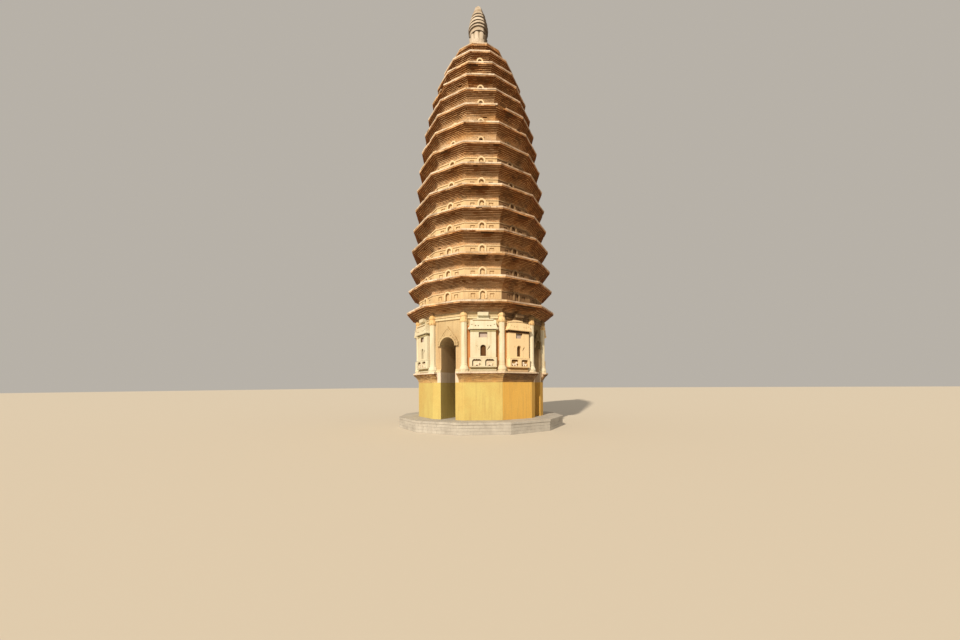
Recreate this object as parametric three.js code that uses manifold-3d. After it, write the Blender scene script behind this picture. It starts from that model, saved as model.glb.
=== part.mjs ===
// A twelve-sided brick pagoda with fifteen close-set eaves and a stone finial, at its real size.
// Millimetres, +Z up. The origin is the middle of the platform's underside, on the ground.
// Face angles run from -Y towards +X. Doors face 0, 90, 180 and 270 degrees, niches the other eight ways.

import * as THREE from 'three';
import { mergeVertices } from 'three/addons/utils/BufferGeometryUtils.js';
import Module from 'manifold-3d';

const wasm = await Module();
wasm.setup();

// Plan of the tower: all radii reach to the corners of the twelve-sided plan
const SIDES = 12;
const FACE_STEP = 360 / SIDES;
const HALF_FACE = Math.PI / SIDES;
const GAP = 0.3;
const FAR = 12000;

// Platform
const PLATFORM_RADIUS = 7000;
const PLATFORM_HEIGHT = 850;
const COPING_HEIGHT = 160;
const COPING_REACH = 60;

// Lower wall with the corbelled waist cornice that crowns it
const LOWER_WALL_RADIUS = 5400;
const WAIST_CORBEL_BASE = 3620;
const WAIST_LIP_BASE = 4210;
const WAIST_LIP_RADIUS = 5840;
const DECK_HEIGHT = 4400;
const WAIST_BREAK_HALF = 950;

// Upper wall and the round that it encloses
const UPPER_WALL_RADIUS = 5300;
const TOP_BAND_BASE = 8250;
const TOP_BAND_REACH = 60;
const UPPER_WALL_TOP = 8770;
const ROOM_APOTHEM = 2650;

// Doorways, one arch that runs up through both walls
const DOOR_HALF = 650;
const DOOR_SPRING = 6350;
const ARCH_SEGMENTS = 8;
const HEAD_HALF = 1000;
const HOOD_RIGHT_SIDE = [[910, 6350], [910, 6620], [680, 7030], [270, 7400]];
const HOOD_TIP = 7840;
const HOOD_REACH = 140;
const HOOD_ROOT = 100;

// Eaves: corner radius of each lip follows the tower's swelling outline
const EAVE_COUNT = 15;
const FIRST_LIP_RADIUS = 6340;
const LIP_TAPER = 1830;
const LIP_CROWN_TAPER = 2100;
const LIP_CROWN_POWER = 5;
const FIRST_LIP_BASE = 9220;
const STOREY_RISES = [1820, 1670, 1700, 1720, 1720, 1620, 1680, 1620, 1520, 1360, 1430, 1330, 1440, 1320];
const LIP_HEIGHT = 200;
const ROOF_RISE = 260;
const FIRST_OVERHANG = 930;
const OVERHANG_STEP = 30;
const FIRST_CORBEL = 700;
const CORBEL_STEP = 15;
const CORBEL_STAGES = [0.45, 0.75];
const BORES = [
  { last: 4, apothem: 2000 },
  { last: 8, apothem: 1700 },
  { last: 11, apothem: 1300 },
  { last: 14, apothem: 850 },
];
const BORE_SIDES = 8;
const BORE_REACH = 48000;

// Corner columns: [radius, height] from the lotus base over the shaft and the hanging collar to the bulb
const COLUMN_SIDES = 8;
const COLUMN_AXIS_RADIUS = 5340;
const COLUMN_PROFILE = [
  [360, DECK_HEIGHT], [370, 4540], [330, 4740], [260, 4900], [260, 4970], [230, 5000],
  [230, 7960], [280, 8000], [295, 8240], [260, 8420], [310, 8560], [260, 8700], [120, UPPER_WALL_TOP - GAP],
];

// Niches: pavilions in relief on the eight faces without a door
const NICHE_ANGLES = [30, 60, 120, 150, 210, 240, 300, 330];
const NICHE_HALF = 930;
const NICHE_DEPTH = 330;
const PLINTH_HALF = 1000;
const PLINTH_DEPTH = 430;
const PLINTH_BASE = 4700;
const NICHE_FLOOR = 5420;
const CAP_BASE = 7450;
const CAP_TOP = 8150;
const CAP_DEPTH = 500;
const FLAT_CAP_SIDE = [
  [1090, 7450], [1090, 7530], [1000, 7600], [940, 7780], [900, 7950], [820, 8050], [640, 8060], [640, 8200],
];
const ARCHED_CAP_SIDE = [
  [1090, 7450], [1090, 7530], [1000, 7600], [950, 7780], [960, 8050], [720, 8140], [380, 8200], [120, 8220],
];
const ARCHED_CAP_ANGLES = [60, 120, 240, 300];
const STEM_HALF = 450;
const BLOCK_HALF = 395;
const BLOCK_BASE = 8410;
const BLOCK_TOP = 8680;
const RELIEF_ROOT = 50;
const NICHE_DOOR_HALF = 205;
const NICHE_DOOR_SILL = 5520;
const NICHE_DOOR_SPRING = 6135;
const NICHE_DOOR_DEPTH = 220;
const PLAQUE_HALF = 300;
const PLAQUE_BASE = 6880;
const PLAQUE_HEIGHT = 380;
const PLAQUE_DEPTH = 60;

// Finial, turned in stone, as [radius, height]: lotus base, seven rings that swell and taper, and a jewel
const FINIAL_SIDES = 24;
const LOTUS_FOOT_RADIUS = 1180;
const LAST_ROOF_RISE = 700;
const LOTUS_PROFILE = [
  [1100, 32070], [1120, 32370], [1180, 32410], [900, 32700], [820, 32850], [880, 33050], [980, 33250],
  [900, 33320], [700, 33340], [680, 33500], [740, 33800], [700, 33870],
];
const RINGS_BASE = 33870;
const RINGS_TOP = 36050;
const RING_RADII = [790, 835, 865, 860, 790, 700, 590];
const RING_GROOVE = 0.8;
const RING_SHOULDERS = [0.25, 0.7];
const RING_TOP_EDGE = 0.95;
const JEWEL_PROFILE = [
  [380, 36050], [450, 36130], [430, 36250], [370, 36400], [300, 36560], [210, 36690],
];
const TIP_HEIGHT = 36800;

const material = (color, roughness) => new THREE.MeshStandardMaterial({ color, roughness, metalness: 0 });
const PAVING_STONE = material(0x9d9689, 0.9);
const OCHRE_PLASTER = material(0xd9b36c, 0.9);
const CREAM_PLASTER = material(0xe9d7ad, 0.88);
const RELIEF_PLASTER = material(0xf0e2bd, 0.88);
const BRICK = material(0xb08a63, 0.92);
const CARVED_STONE = material(0xcdbcab, 0.85);

const tower = new THREE.Group();

const cornerRadius = (apothem, sides) => apothem / Math.cos(Math.PI / sides);

// Adds one named mesh to the tower
function place(name, geometry, finish) {
  const mesh = new THREE.Mesh(geometry, finish);
  mesh.name = name;
  tower.add(mesh);
  return mesh;
}

// Stands a geometry up: its Y becomes Z, exactly
function standUp(geometry) {
  const position = geometry.attributes.position;
  for (let i = 0; i < position.count; i += 1) {
    position.setXYZ(i, position.getX(i), -position.getZ(i), position.getY(i));
  }
  return geometry;
}

// Keeps only positions and merges the shared ones
function weld(geometry) {
  geometry.deleteAttribute('normal');
  geometry.deleteAttribute('uv');
  return mergeVertices(geometry, 0.01);
}

// Revolves [radius, height] points in flat sides, with a corner at startAngle from -Y
function turned(points, sides, startAngle) {
  const profile = points.map(([radius, height]) => new THREE.Vector2(radius, height));
  return weld(standUp(new THREE.LatheGeometry(profile, sides, startAngle)));
}

// A twelve-sided solid on the tower's axis, outer profile from bottom to top
const revolved = (points) => turned([[0, points[0][1]], ...points, [0, points.at(-1)[1]]], SIDES, HALF_FACE);

// A solid for cutting and joining
function solid(geometry) {
  const vertProperties = new Float32Array(geometry.attributes.position.array);
  const triVerts = new Uint32Array(geometry.index.array);
  return new wasm.Manifold(new wasm.Mesh({ numProp: 3, vertProperties, triVerts }));
}

// A mesh's geometry from a solid
function meshed(shape) {
  const { vertProperties, triVerts } = shape.getMesh();
  const geometry = new THREE.BufferGeometry();
  geometry.setAttribute('position', new THREE.BufferAttribute(vertProperties, 3));
  geometry.setIndex(new THREE.BufferAttribute(triVerts, 1));
  return geometry;
}

// A box between two corners
function block(low, high) {
  const size = high.map((value, axis) => value - low[axis]);
  const box = new THREE.BoxGeometry(...size);
  box.translate(...high.map((value, axis) => (value + low[axis]) / 2));
  return solid(weld(box));
}

// A flat outline in the plane of the front wall, made thick from one distance in front of the axis to another
function slab(shape, near, far) {
  const depth = far - near;
  const plate = new THREE.ExtrudeGeometry(shape, { depth, bevelEnabled: false, curveSegments: ARCH_SEGMENTS });
  plate.translate(0, 0, near);
  return solid(weld(standUp(plate)));
}

// An outline through [across, up] points
const outlined = (points) => new THREE.Shape(points.map(([across, up]) => new THREE.Vector2(across, up)));

// The [across, up] points of a right side, bottom to top, followed by its mirror image
const mirrored = (points) => [...points, ...points.map(([across, up]) => [-across, up]).reverse()];

// The outline of a round-headed opening
function archOutline(half, sill, spring) {
  const shape = new THREE.Shape();
  shape.moveTo(-half, sill);
  shape.lineTo(half, sill);
  shape.lineTo(half, spring);
  shape.absarc(0, spring, half, 0, Math.PI, false);
  return shape;
}

// Turns a solid about the tower's axis, by degrees from -Y towards +X
const turn = (shape, degrees) => shape.rotate([0, 0, degrees]);

// Outer profile of a concave corbel from the wall to the lip
function corbel(wallRadius, wallTop, lipRadius, lipBase) {
  const stages = CORBEL_STAGES.map((t) => [
    wallRadius + (lipRadius - wallRadius) * t * t,
    wallTop + (lipBase - wallTop) * t,
  ]);
  return [[wallRadius, wallTop], ...stages, [lipRadius, lipBase]];
}

// Platform
place('platform', revolved([
  [PLATFORM_RADIUS, 0],
  [PLATFORM_RADIUS, PLATFORM_HEIGHT - COPING_HEIGHT],
  [PLATFORM_RADIUS + COPING_REACH, PLATFORM_HEIGHT - COPING_HEIGHT],
  [PLATFORM_RADIUS + COPING_REACH, PLATFORM_HEIGHT],
]), PAVING_STONE);

// The two walls as whole rings, before the doorways split them
const room = solid(revolved([
  [cornerRadius(ROOM_APOTHEM, SIDES), 0],
  [cornerRadius(ROOM_APOTHEM, SIDES), FAR],
]));
const lowerProfile = [
  [LOWER_WALL_RADIUS, PLATFORM_HEIGHT],
  ...corbel(LOWER_WALL_RADIUS, WAIST_CORBEL_BASE, WAIST_LIP_RADIUS, WAIST_LIP_BASE),
  [WAIST_LIP_RADIUS, DECK_HEIGHT],
];
const upperProfile = (spare) => [
  [UPPER_WALL_RADIUS + spare, DECK_HEIGHT],
  [UPPER_WALL_RADIUS + spare, TOP_BAND_BASE - spare],
  [UPPER_WALL_RADIUS + TOP_BAND_REACH + spare, TOP_BAND_BASE - spare],
  [UPPER_WALL_RADIUS + TOP_BAND_REACH + spare, UPPER_WALL_TOP],
];
const lowerRing = solid(revolved(lowerProfile)).subtract(room);
const upperCore = solid(revolved(upperProfile(0)));
const upperRing = upperCore.subtract(room);
const upperClear = solid(revolved(upperProfile(GAP)));
const lowerApothem = LOWER_WALL_RADIUS * Math.cos(HALF_FACE);
const upperApothem = UPPER_WALL_RADIUS * Math.cos(HALF_FACE);

// Walls in quarters, each from one doorway to the next
const quarter = block([DOOR_HALF, -FAR, 0], [FAR, -DOOR_HALF, FAR]);
const waistBreak = block([-WAIST_BREAK_HALF, -FAR, WAIST_CORBEL_BASE], [WAIST_BREAK_HALF, -lowerApothem, FAR]);
const headSpace = block([-HEAD_HALF - GAP, -FAR, DOOR_SPRING - GAP], [HEAD_HALF + GAP, 0, FAR]);
const lowerQuarter = lowerRing.intersect(quarter).subtract(waistBreak).subtract(turn(waistBreak, 90));
const upperQuarter = upperRing.intersect(quarter).subtract(headSpace).subtract(turn(headSpace, 90));
['front_right', 'back_right', 'back_left', 'front_left'].forEach((side, index) => {
  place(`lower_wall_${side}`, meshed(turn(lowerQuarter, index * 90)), OCHRE_PLASTER);
  place(`upper_wall_${side}`, meshed(turn(upperQuarter, index * 90)), CREAM_PLASTER);
});

// Door heads: the arch over each doorway, with a pointed hood in relief
const hoodSide = mirrored(HOOD_RIGHT_SIDE);
hoodSide.splice(HOOD_RIGHT_SIDE.length, 0, [0, HOOD_TIP]);
const hood = slab(outlined(hoodSide), upperApothem - HOOD_ROOT, upperApothem + HOOD_REACH);
const headBlock = block([-HEAD_HALF, -FAR, DOOR_SPRING], [HEAD_HALF, 0, FAR]);
const doorway = slab(archOutline(DOOR_HALF, 0, DOOR_SPRING), 0, FAR);
const doorHead = upperRing.intersect(headBlock).add(hood).subtract(doorway);
['front', 'right', 'back', 'left'].forEach((side, index) => {
  place(`door_head_${side}`, meshed(turn(doorHead, index * 90)), CREAM_PLASTER);
});

// Corner columns
const columnTurned = turned(
  [[0, DECK_HEIGHT], ...COLUMN_PROFILE, [0, COLUMN_PROFILE.at(-1)[1]]],
  COLUMN_SIDES,
  Math.PI / COLUMN_SIDES,
);
columnTurned.translate(0, -COLUMN_AXIS_RADIUS, 0);
const column = turn(solid(columnTurned), FACE_STEP / 2).subtract(upperClear);
for (let corner = 0; corner < SIDES; corner += 1) {
  const name = `corner_column_${String(corner + 1).padStart(2, '0')}`;
  place(name, meshed(turn(column, corner * FACE_STEP)), RELIEF_PLASTER);
}

// Niches
const back = upperApothem - RELIEF_ROOT;
const front = (depth) => upperApothem + depth;
const span = (half, low, high, depth) => block([-half, -front(depth), low], [half, -back, high]);
const plinth = span(PLINTH_HALF, PLINTH_BASE, NICHE_FLOOR, PLINTH_DEPTH)
  .add(span(NICHE_HALF, DECK_HEIGHT, PLINTH_BASE, NICHE_DEPTH));
const nicheDoor = slab(
  archOutline(NICHE_DOOR_HALF, NICHE_DOOR_SILL, NICHE_DOOR_SPRING),
  front(NICHE_DEPTH - NICHE_DOOR_DEPTH),
  front(FAR),
);
const plaque = block(
  [-PLAQUE_HALF, -front(FAR), PLAQUE_BASE],
  [PLAQUE_HALF, -front(NICHE_DEPTH - PLAQUE_DEPTH), PLAQUE_BASE + PLAQUE_HEIGHT],
);
const nicheWith = (capSide) => plinth
  .add(span(NICHE_HALF, NICHE_FLOOR, CAP_BASE, NICHE_DEPTH))
  .add(slab(outlined(mirrored(capSide)), back, front(CAP_DEPTH)))
  .add(span(STEM_HALF, CAP_TOP, BLOCK_BASE, NICHE_DEPTH))
  .add(span(BLOCK_HALF, BLOCK_BASE, BLOCK_TOP, CAP_DEPTH))
  .subtract(nicheDoor)
  .subtract(plaque);
const flatNiche = nicheWith(FLAT_CAP_SIDE);
const archedNiche = nicheWith(ARCHED_CAP_SIDE);
NICHE_ANGLES.forEach((angle, index) => {
  const niche = ARCHED_CAP_ANGLES.includes(angle) ? archedNiche : flatNiche;
  const shape = turn(niche, angle).subtract(upperClear);
  place(`niche_${String(index + 1).padStart(2, '0')}`, meshed(shape), RELIEF_PLASTER);
});

// Eaves: a neck wall, a concave corbel, the lip and the low roof that carries the next neck
const rises = STOREY_RISES.reduce((heights, rise) => [...heights, heights.at(-1) + rise], [FIRST_LIP_BASE]);
const lipSpan = rises.at(-1) - FIRST_LIP_BASE;
const lipRadius = (index) => {
  const climb = (rises[index] - FIRST_LIP_BASE) / lipSpan;
  return FIRST_LIP_RADIUS - LIP_TAPER * climb - LIP_CROWN_TAPER * climb ** LIP_CROWN_POWER;
};
const neckRadius = (index) => lipRadius(index) - FIRST_OVERHANG + OVERHANG_STEP * index;
const lotusFoot = [LOTUS_FOOT_RADIUS, rises.at(-1) + LIP_HEIGHT + LAST_ROOF_RISE];

for (let index = 0; index < EAVE_COUNT; index += 1) {
  const lip = lipRadius(index);
  const lipBase = rises[index];
  const lipTop = lipBase + LIP_HEIGHT;
  const isFirst = index === 0;
  const isLast = index === EAVE_COUNT - 1;
  const wall = isFirst ? UPPER_WALL_RADIUS : neckRadius(index);
  const foot = isFirst ? UPPER_WALL_TOP : rises[index - 1] + LIP_HEIGHT + ROOF_RISE;
  const corbelBase = isFirst ? UPPER_WALL_TOP : lipBase - FIRST_CORBEL + CORBEL_STEP * index;
  const neck = isFirst ? [] : [[wall, foot]];
  const roof = isLast ? lotusFoot : [neckRadius(index + 1), lipTop + ROOF_RISE];
  const body = solid(revolved([...neck, ...corbel(wall, corbelBase, lip, lipBase), [lip, lipTop], roof]));
  const bore = BORES.find(({ last }) => index < last);
  const name = `eave_${String(index + 1).padStart(2, '0')}`;
  if (bore) {
    const radius = cornerRadius(bore.apothem, BORE_SIDES);
    const bored = [[0, 0], [radius, 0], [radius, BORE_REACH], [0, BORE_REACH]];
    const tube = turned(bored, BORE_SIDES, Math.PI / BORE_SIDES);
    place(name, meshed(body.subtract(solid(tube))), BRICK);
  } else {
    place(name, meshed(body), BRICK);
  }
}

// Finial
const finialPart = (name, points) => place(name, turned(points, FINIAL_SIDES, 0), CARVED_STONE);
finialPart('finial_lotus', [[0, lotusFoot[1]], ...LOTUS_PROFILE, [0, RINGS_BASE]]);

const ringPitch = (RINGS_TOP - RINGS_BASE) / RING_RADII.length;
const ringProfile = RING_RADII.flatMap((radius, index) => {
  const base = RINGS_BASE + index * ringPitch;
  const shoulders = RING_SHOULDERS.map((share) => [radius, base + ringPitch * share]);
  const groove = radius * RING_GROOVE;
  return [[groove, base], ...shoulders, [groove, base + ringPitch * RING_TOP_EDGE]];
});
finialPart('finial_rings', [[0, RINGS_BASE], ...ringProfile, [JEWEL_PROFILE[0][0], RINGS_TOP], [0, RINGS_TOP]]);
finialPart('finial_jewel', [[0, RINGS_TOP], ...JEWEL_PROFILE, [0, TIP_HEIGHT]]);

export default tower;
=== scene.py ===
"""Looks of a twelve-sided brick pagoda: plastered walls, relief niches, brick eaves and a stone finial.

Everything is in metres in the CAD frame: +Z up, the origin on the ground in the middle of the platform.
Face angles are in degrees from -Y towards +X. Doors face 0, 90, 180 and 270, niches the other eight ways.
"""

import math

import bmesh
import bpy
import numpy as np
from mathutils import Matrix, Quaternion, Vector


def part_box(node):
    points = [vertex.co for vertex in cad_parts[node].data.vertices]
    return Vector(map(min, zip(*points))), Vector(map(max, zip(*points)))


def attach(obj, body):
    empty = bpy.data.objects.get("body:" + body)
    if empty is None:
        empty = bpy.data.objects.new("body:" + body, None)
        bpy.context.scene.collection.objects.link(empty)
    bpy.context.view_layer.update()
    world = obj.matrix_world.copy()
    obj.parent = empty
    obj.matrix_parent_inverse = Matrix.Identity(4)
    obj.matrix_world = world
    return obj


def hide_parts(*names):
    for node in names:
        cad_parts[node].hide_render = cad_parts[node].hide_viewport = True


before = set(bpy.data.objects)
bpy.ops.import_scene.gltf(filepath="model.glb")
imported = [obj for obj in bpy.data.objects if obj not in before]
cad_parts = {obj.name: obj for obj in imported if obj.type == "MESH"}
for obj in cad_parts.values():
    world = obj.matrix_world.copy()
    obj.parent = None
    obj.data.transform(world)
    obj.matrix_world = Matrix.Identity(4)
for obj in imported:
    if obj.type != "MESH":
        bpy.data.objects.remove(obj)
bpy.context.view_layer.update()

# The plan
SIDES = 12
FACE_STEP = 360 / SIDES
FACE_ANGLES = [FACE_STEP * i for i in range(SIDES)]
DOOR_ANGLES = {"front": 0, "right": 90, "back": 180, "left": 270}
NICHE_ANGLES = [30, 60, 120, 150, 210, 240, 300, 330]
QUARTERS = ["front_right", "back_right", "back_left", "front_left"]
COS_HALF = math.cos(math.pi / SIDES)
TAN_HALF = math.tan(math.pi / SIDES)
AXIS = (0.0, 0.0)

# The photograph's camera, placed from the tower's axis and from the ground that it stands on
CAMERA_AZIMUTH = 27.9
CAMERA_DISTANCE = 30.1
CAMERA_HEIGHT = 3.40
CAMERA_ROLL = 0.375
AXIS_SHIFT = 0.9
PHOTO_WIDTH = 960
PHOTO_HEIGHT = 640
PHOTO_FOCAL = 488.3
PHOTO_TIP_RISE = 541.9
ZOOM = 0.70
TIP_ROW = 6
SENSOR = 36

# Platform
PLATFORM_RADIUS = 7.0
PLATFORM_TOP = 0.85
STONE_COURSE = 0.23
COPING_BASE = 0.695
PAVING_BASE = 0.75
PAVING_STEP = 0.43

# Walls
LOWER_OUT = 5.40 * COS_HALF
UPPER_OUT = 5.30 * COS_HALF
TOP_BAND_OUT = 5.36 * COS_HALF
ROOM_OUT = 2.65
WAIST_CORBEL_BASE = 3.62
WAIST_LIP_BASE = 4.21
WAIST_LIP_OUT = 5.84 * COS_HALF
WAIST_BREAK_HALF = 0.95
DECK = 4.40
WALL_TOP = 8.77
DOOR_HALF = 0.65
DOOR_SPRING = 6.35
DOOR_FACE_HALF = 1.36

# Bands along the upper walls, as (depth, low, high, taper)
BAND_HALF = 1.12
FOOT_BANDS = [(0.10, DECK, 4.53, 0.012), (0.06, 4.53, 4.62, 0.008)]
TOP_BANDS = [(0.05, 8.275, 8.43, 0.01), (0.07, 8.46, 8.535, 0.01)]

# Bands of the door hoods, as (growth and tip of the outer arch, the same of the inner arch, depth)
DOOR_HOOD_BANDS = [((0.12, 0.0), (0.0, 0.0), 0.05), ((0.26, 0.45), (0.18, 0.42), 0.03)]

# Bricks
COURSE = 0.070
BED_JOINT = 0.022
END_JOINT = 0.010
BRICK_LENGTH = 0.31
BRICK_DEPTH = 0.16
LIP_BRICK_LENGTH = 0.42
LIP_BRICK_DEPTH = 0.28
ROOF_COURSE = 0.065
CORE_SETBACK = 0.045
# Brick undersides are darkened by this much tone, as painted shade.
UNDERSIDE_SHADE_TONE = -0.45

# Eaves
EAVE_COUNT = 15
LIP_HEIGHT = 0.20
ROOF_RISE = 0.26
LAST_ROOF_RISE = 0.70
LAST_LIP_HEIGHT = 0.15
LAST_LIP_TRIM = 0.06
FIRST_OVERHANG = 0.93
OVERHANG_STEP = 0.03
FIRST_CORBEL = 0.70
CORBEL_STEP = 0.015
WINDOWED_EAVES = 8
BORES = [2.0] * 4 + [1.7] * 4 + [1.3] * 3 + [0.85] * 3 + [0.3]

# Columns
COLUMN_AXIS = 5.34
COLUMN_CORNERS = [FACE_STEP * (i + 0.5) for i in range(SIDES)]
COLUMN_SIDES = 8
SHAFT_RADIUS = 0.23
COLUMN_FOOT_TOP = 4.52
COLUMN_BASE_TOP = 4.88
COLLAR_BASE = 8.00
BUD_BASE = 8.38
BUD_TIP = 8.86

# Sections of the columns, as (share of the height, radius)
COLUMN_BASE = [(0, 0.325), (0.25, 0.335), (0.6, 0.285), (0.85, 0.25), (1, 0.235)]
COLLAR = [(0, 0.25), (0.12, 0.272), (0.5, 0.245), (1, 0.205)]
BUD = [(0, 0.20), (0.10, 0.255), (0.25, 0.28), (0.42, 0.262), (0.64, 0.20), (0.84, 0.12), (1, 0.02)]

# Niches
NICHE_HALF = 0.93
NICHE_DEPTH = 0.33
NICHE_BACK = UPPER_OUT - 0.03
NICHE_OUT = UPPER_OUT + NICHE_DEPTH
PLINTH_OUT = UPPER_OUT + 0.43
CAP_OUT = UPPER_OUT + 0.50
PLINTH_BASE = 4.70
NICHE_FLOOR = 5.42
CAP_BASE = 7.45
CAP_TOP = 8.18
BLOCK_BASE = 8.41
ARCHED_CAP_ANGLES = [60, 120, 240, 300]
BROKEN_CAP_ANGLE = 60

# The plinth's two sunk panels, with their shadows as (left, right, depth, heights)
PANEL = (4.76, 5.36)
PANEL_MIDDLE = 0.47
LION_BASE = 4.81
HALF_PANEL = [(0.33, 4.80), (0.33, 5.16), (0.28, 5.25), (0.17, 5.30), (0.08, 5.27)]
PANEL_SHADOWS = [
    (-0.33, 0.33, 0.10, (5.18, 5.32)), (-0.33, -0.27, 0.10, (4.80, 5.20)), (-0.07, 0.05, 0.11, (4.80, 4.90)),
]

# The sunk tablet, with its frame as (left, right, low)
TABLET_HALF = 0.31
TABLET_LOW = 6.86
TABLET_HIGH = 7.24
TABLET_FRAME = [(-0.345, -0.31, TABLET_LOW), (0.31, 0.345, TABLET_LOW), (-0.31, 0.31, TABLET_HIGH)]

# Sections of the niche, as (half width, depth from the wall, height)
PLINTH_FOOT = [(0.95, 0.38, 4.70), (0.985, 0.43, 4.72), (0.985, 0.43, 4.745), (0.96, 0.41, 4.765)]
PLINTH_HEAD = [(0.96, 0.41, 5.355), (0.99, 0.43, 5.375), (0.99, 0.43, 5.405), (0.95, 0.39, 5.42)]
CAP_FOOT = [
    (1.05, 0.43, 7.43), (1.09, 0.50, 7.45), (1.09, 0.50, 7.515), (1.01, 0.475, 7.58), (0.95, 0.47, 7.76),
]
FLAT_CAP = [(0.94, 0.46, 7.98), (0.93, 0.44, 8.06), (0.90, 0.38, 8.12)]
TOP_SLAB = [(0.73, 0.46, 8.085), (0.75, 0.49, 8.10), (0.75, 0.49, 8.165), (0.73, 0.47, CAP_TOP)]
ARCHED_CAP = [(0.94, 0.455, 7.93), (0.93, 0.40, 7.955), (0.93, 0.34, 7.96)]
STEM = [(0.46, 0.22, CAP_TOP - 0.15), (0.43, 0.24, BLOCK_BASE)]
BLOCK = [(0.375, 0.40, BLOCK_BASE), (0.39, 0.43, 8.425), (0.39, 0.43, 8.665), (0.375, 0.41, 8.68)]

# Upper edge of the arched caps' crown, whole and broken off at the right, as (across, up)
HALF_CROWN = [(0.97, 7.99), (0.95, 8.04), (0.8, 8.09), (0.6, 8.14), (0.37, 8.175)]
CROWN = [(-across, up) for across, up in HALF_CROWN] + [(0, 8.19)] + HALF_CROWN[::-1]
BROKEN_CROWN = [
    (-0.97, 7.99), (-0.95, 8.04), (-0.8, 8.10), (-0.6, 8.15), (-0.37, 8.18), (-0.1, 8.175), (0.05, 8.15),
    (0.19, 8.11), (0.30, 8.08), (0.44, 8.055),
]

# Lumps of a lion, as (across, up, forward, half width, half height, half depth)
LION_BODY = [
    (-0.10, 0.10, 0.00, 0.10, 0.085, 0.05), (0.02, 0.125, 0.00, 0.12, 0.065, 0.045),
    (0.11, 0.14, 0.01, 0.075, 0.085, 0.055), (0.145, 0.225, 0.03, 0.068, 0.064, 0.055),
    (0.19, 0.205, 0.06, 0.034, 0.030, 0.035),
]
LION_LIMBS = [
    (0.15, 0.045, 0.03, 0.026, 0.055, 0.03), (0.09, 0.040, 0.02, 0.024, 0.050, 0.03),
    (0.165, 0.012, 0.05, 0.040, 0.018, 0.035), (-0.09, 0.030, 0.03, 0.050, 0.034, 0.04),
    (-0.14, 0.012, 0.04, 0.045, 0.016, 0.03), (-0.19, 0.13, 0.00, 0.022, 0.050, 0.025),
    (-0.20, 0.19, 0.00, 0.030, 0.032, 0.028),
]

# Necks
HOOD_OUTER = 0.30
HOOD_INNER = 0.185
PLAIN_HOOD_OUTER = 0.26
PLAIN_HOOD_INNER = 0.155
RAISED_HOODS = {10: 0.16, 11: 0.12, 13: 0.30}
RAISED_HOOD_ANGLES = [30, 150, 210, 330]
NECK_LEAN = 0.05
NECK_BAND = 0.13
WINDOW_MIDDLES = (-0.70, 0.70)
WINDOW_HALF = 0.165
WINDOW_DROP = 0.52

# Finial, with its rings as (groove height, radius, share of the height below the shoulder)
FINIAL_BASE = 32.07
SKIRT_TOP = 32.42
BOWL_BASE = 32.80
DRUM_BASE = 33.20
DRUM_TOP = 33.81
DRUM_PETALS = 10
DRUM_TURN = 0.083
PETAL_EDGE = 0.97
PETAL_BLUNT = 8
RINGS = [
    (33.87, 0.765, 0.94), (34.195, 0.855, 0.78), (34.43, 0.875, 0.66), (34.766, 0.80, 0.64),
    (35.136, 0.72, 0.60), (35.495, 0.62, 0.66), (35.80, 0.475, 0.95),
]
GROOVE_SHARE = 0.92
GROOVE_SHADE = 0.052
JEWEL_BASE = 36.02
TIP = 36.80
LOTUS_FOOT = 1.18

# Sections of the finial, as (share of the height, radius)
SKIRT = [(0, 1.12), (0.35, 1.0), (0.7, 0.88), (1, 0.80)]
BOWL = [(0, 0.79), (0.35, 0.80), (0.7, 0.82), (0.92, 0.82), (1, 0.72)]
JEWEL = [
    (0, 0.40), (0.03, 0.42), (0.13, 0.415), (0.26, 0.395), (0.38, 0.365), (0.50, 0.33), (0.62, 0.255),
    (0.74, 0.175), (0.87, 0.09), (0.96, 0.035), (1, 0.01),
]

# Soot under the lips and broken lips, as (eave, face angle, middle across, half width)
SOOT = [
    (1, 60, 0.0, 1.3), (1, 60, 0.9, 0.9),
    (3, 30, 0.0, 0.45), (4, 30, 0.3, 0.85), (6, 30, -0.2, 0.85), (7, 30, -0.4, 0.30), (8, 30, 1.2, 0.35),
    (13, 30, -0.5, 0.55), (2, 60, 0.9, 0.6), (3, 60, -0.4, 0.5), (5, 60, 0.5, 0.7), (5, 330, 0.4, 0.5),
    (8, 0, -0.3, 0.6), (10, 60, 0.0, 0.8), (4, 150, 0.2, 0.7), (7, 210, -0.3, 0.8), (9, 270, 0.4, 0.6),
]
CHIPS = [
    (10, 60, -0.9, 0.35), (10, 30, 1.25, 0.15), (12, 330, 0.8, 0.25), (6, 240, -1.0, 0.3),
    (14, 120, 0.5, 0.25),
]

# Faces whose corbel is lighter or darker than the rest, by (eave, face angle)
FACE_TONES = {
    (12, 30): -0.55, (14, 30): -0.2, (11, 30): 0.14, (4, 300): -0.2, (9, 150): -0.2, (13, 240): -0.2,
}

# Light and shade. The last is the slope, in the plan, behind which shade is painted on the finial.
SUN_AZIMUTH = 3
SUN_ELEVATION = 33
SUN_SPREAD = 2.0
SUN_POWER = 4.2
SKY_STRENGTH = 0.5
SHADE_SLOPE = 0.577

numbers = np.random.default_rng(20)


def on_face(angle, across, out, up):
    """A point given across a face, out from the axis and up."""
    a = math.radians(angle)
    return (across * math.cos(a) + out * math.sin(a), across * math.sin(a) - out * math.cos(a), up)


def flat(angle, outline, out):
    """An outline of (across, up) points laid in a face's plane at a distance out."""
    return [on_face(angle, across, out, up) for across, up in outline]


def rectangle(across, up):
    """Corners of a rectangle, counter-clockwise, from two (low, high) pairs."""
    return [(across[0], up[0]), (across[1], up[0]), (across[1], up[1]), (across[0], up[1])]


def opening(across, up):
    """Corners of a rectangle from its left foot to its right foot, as blind openings are given."""
    return [(across[0], up[0]), (across[0], up[1]), (across[1], up[1]), (across[1], up[0])]


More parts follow.
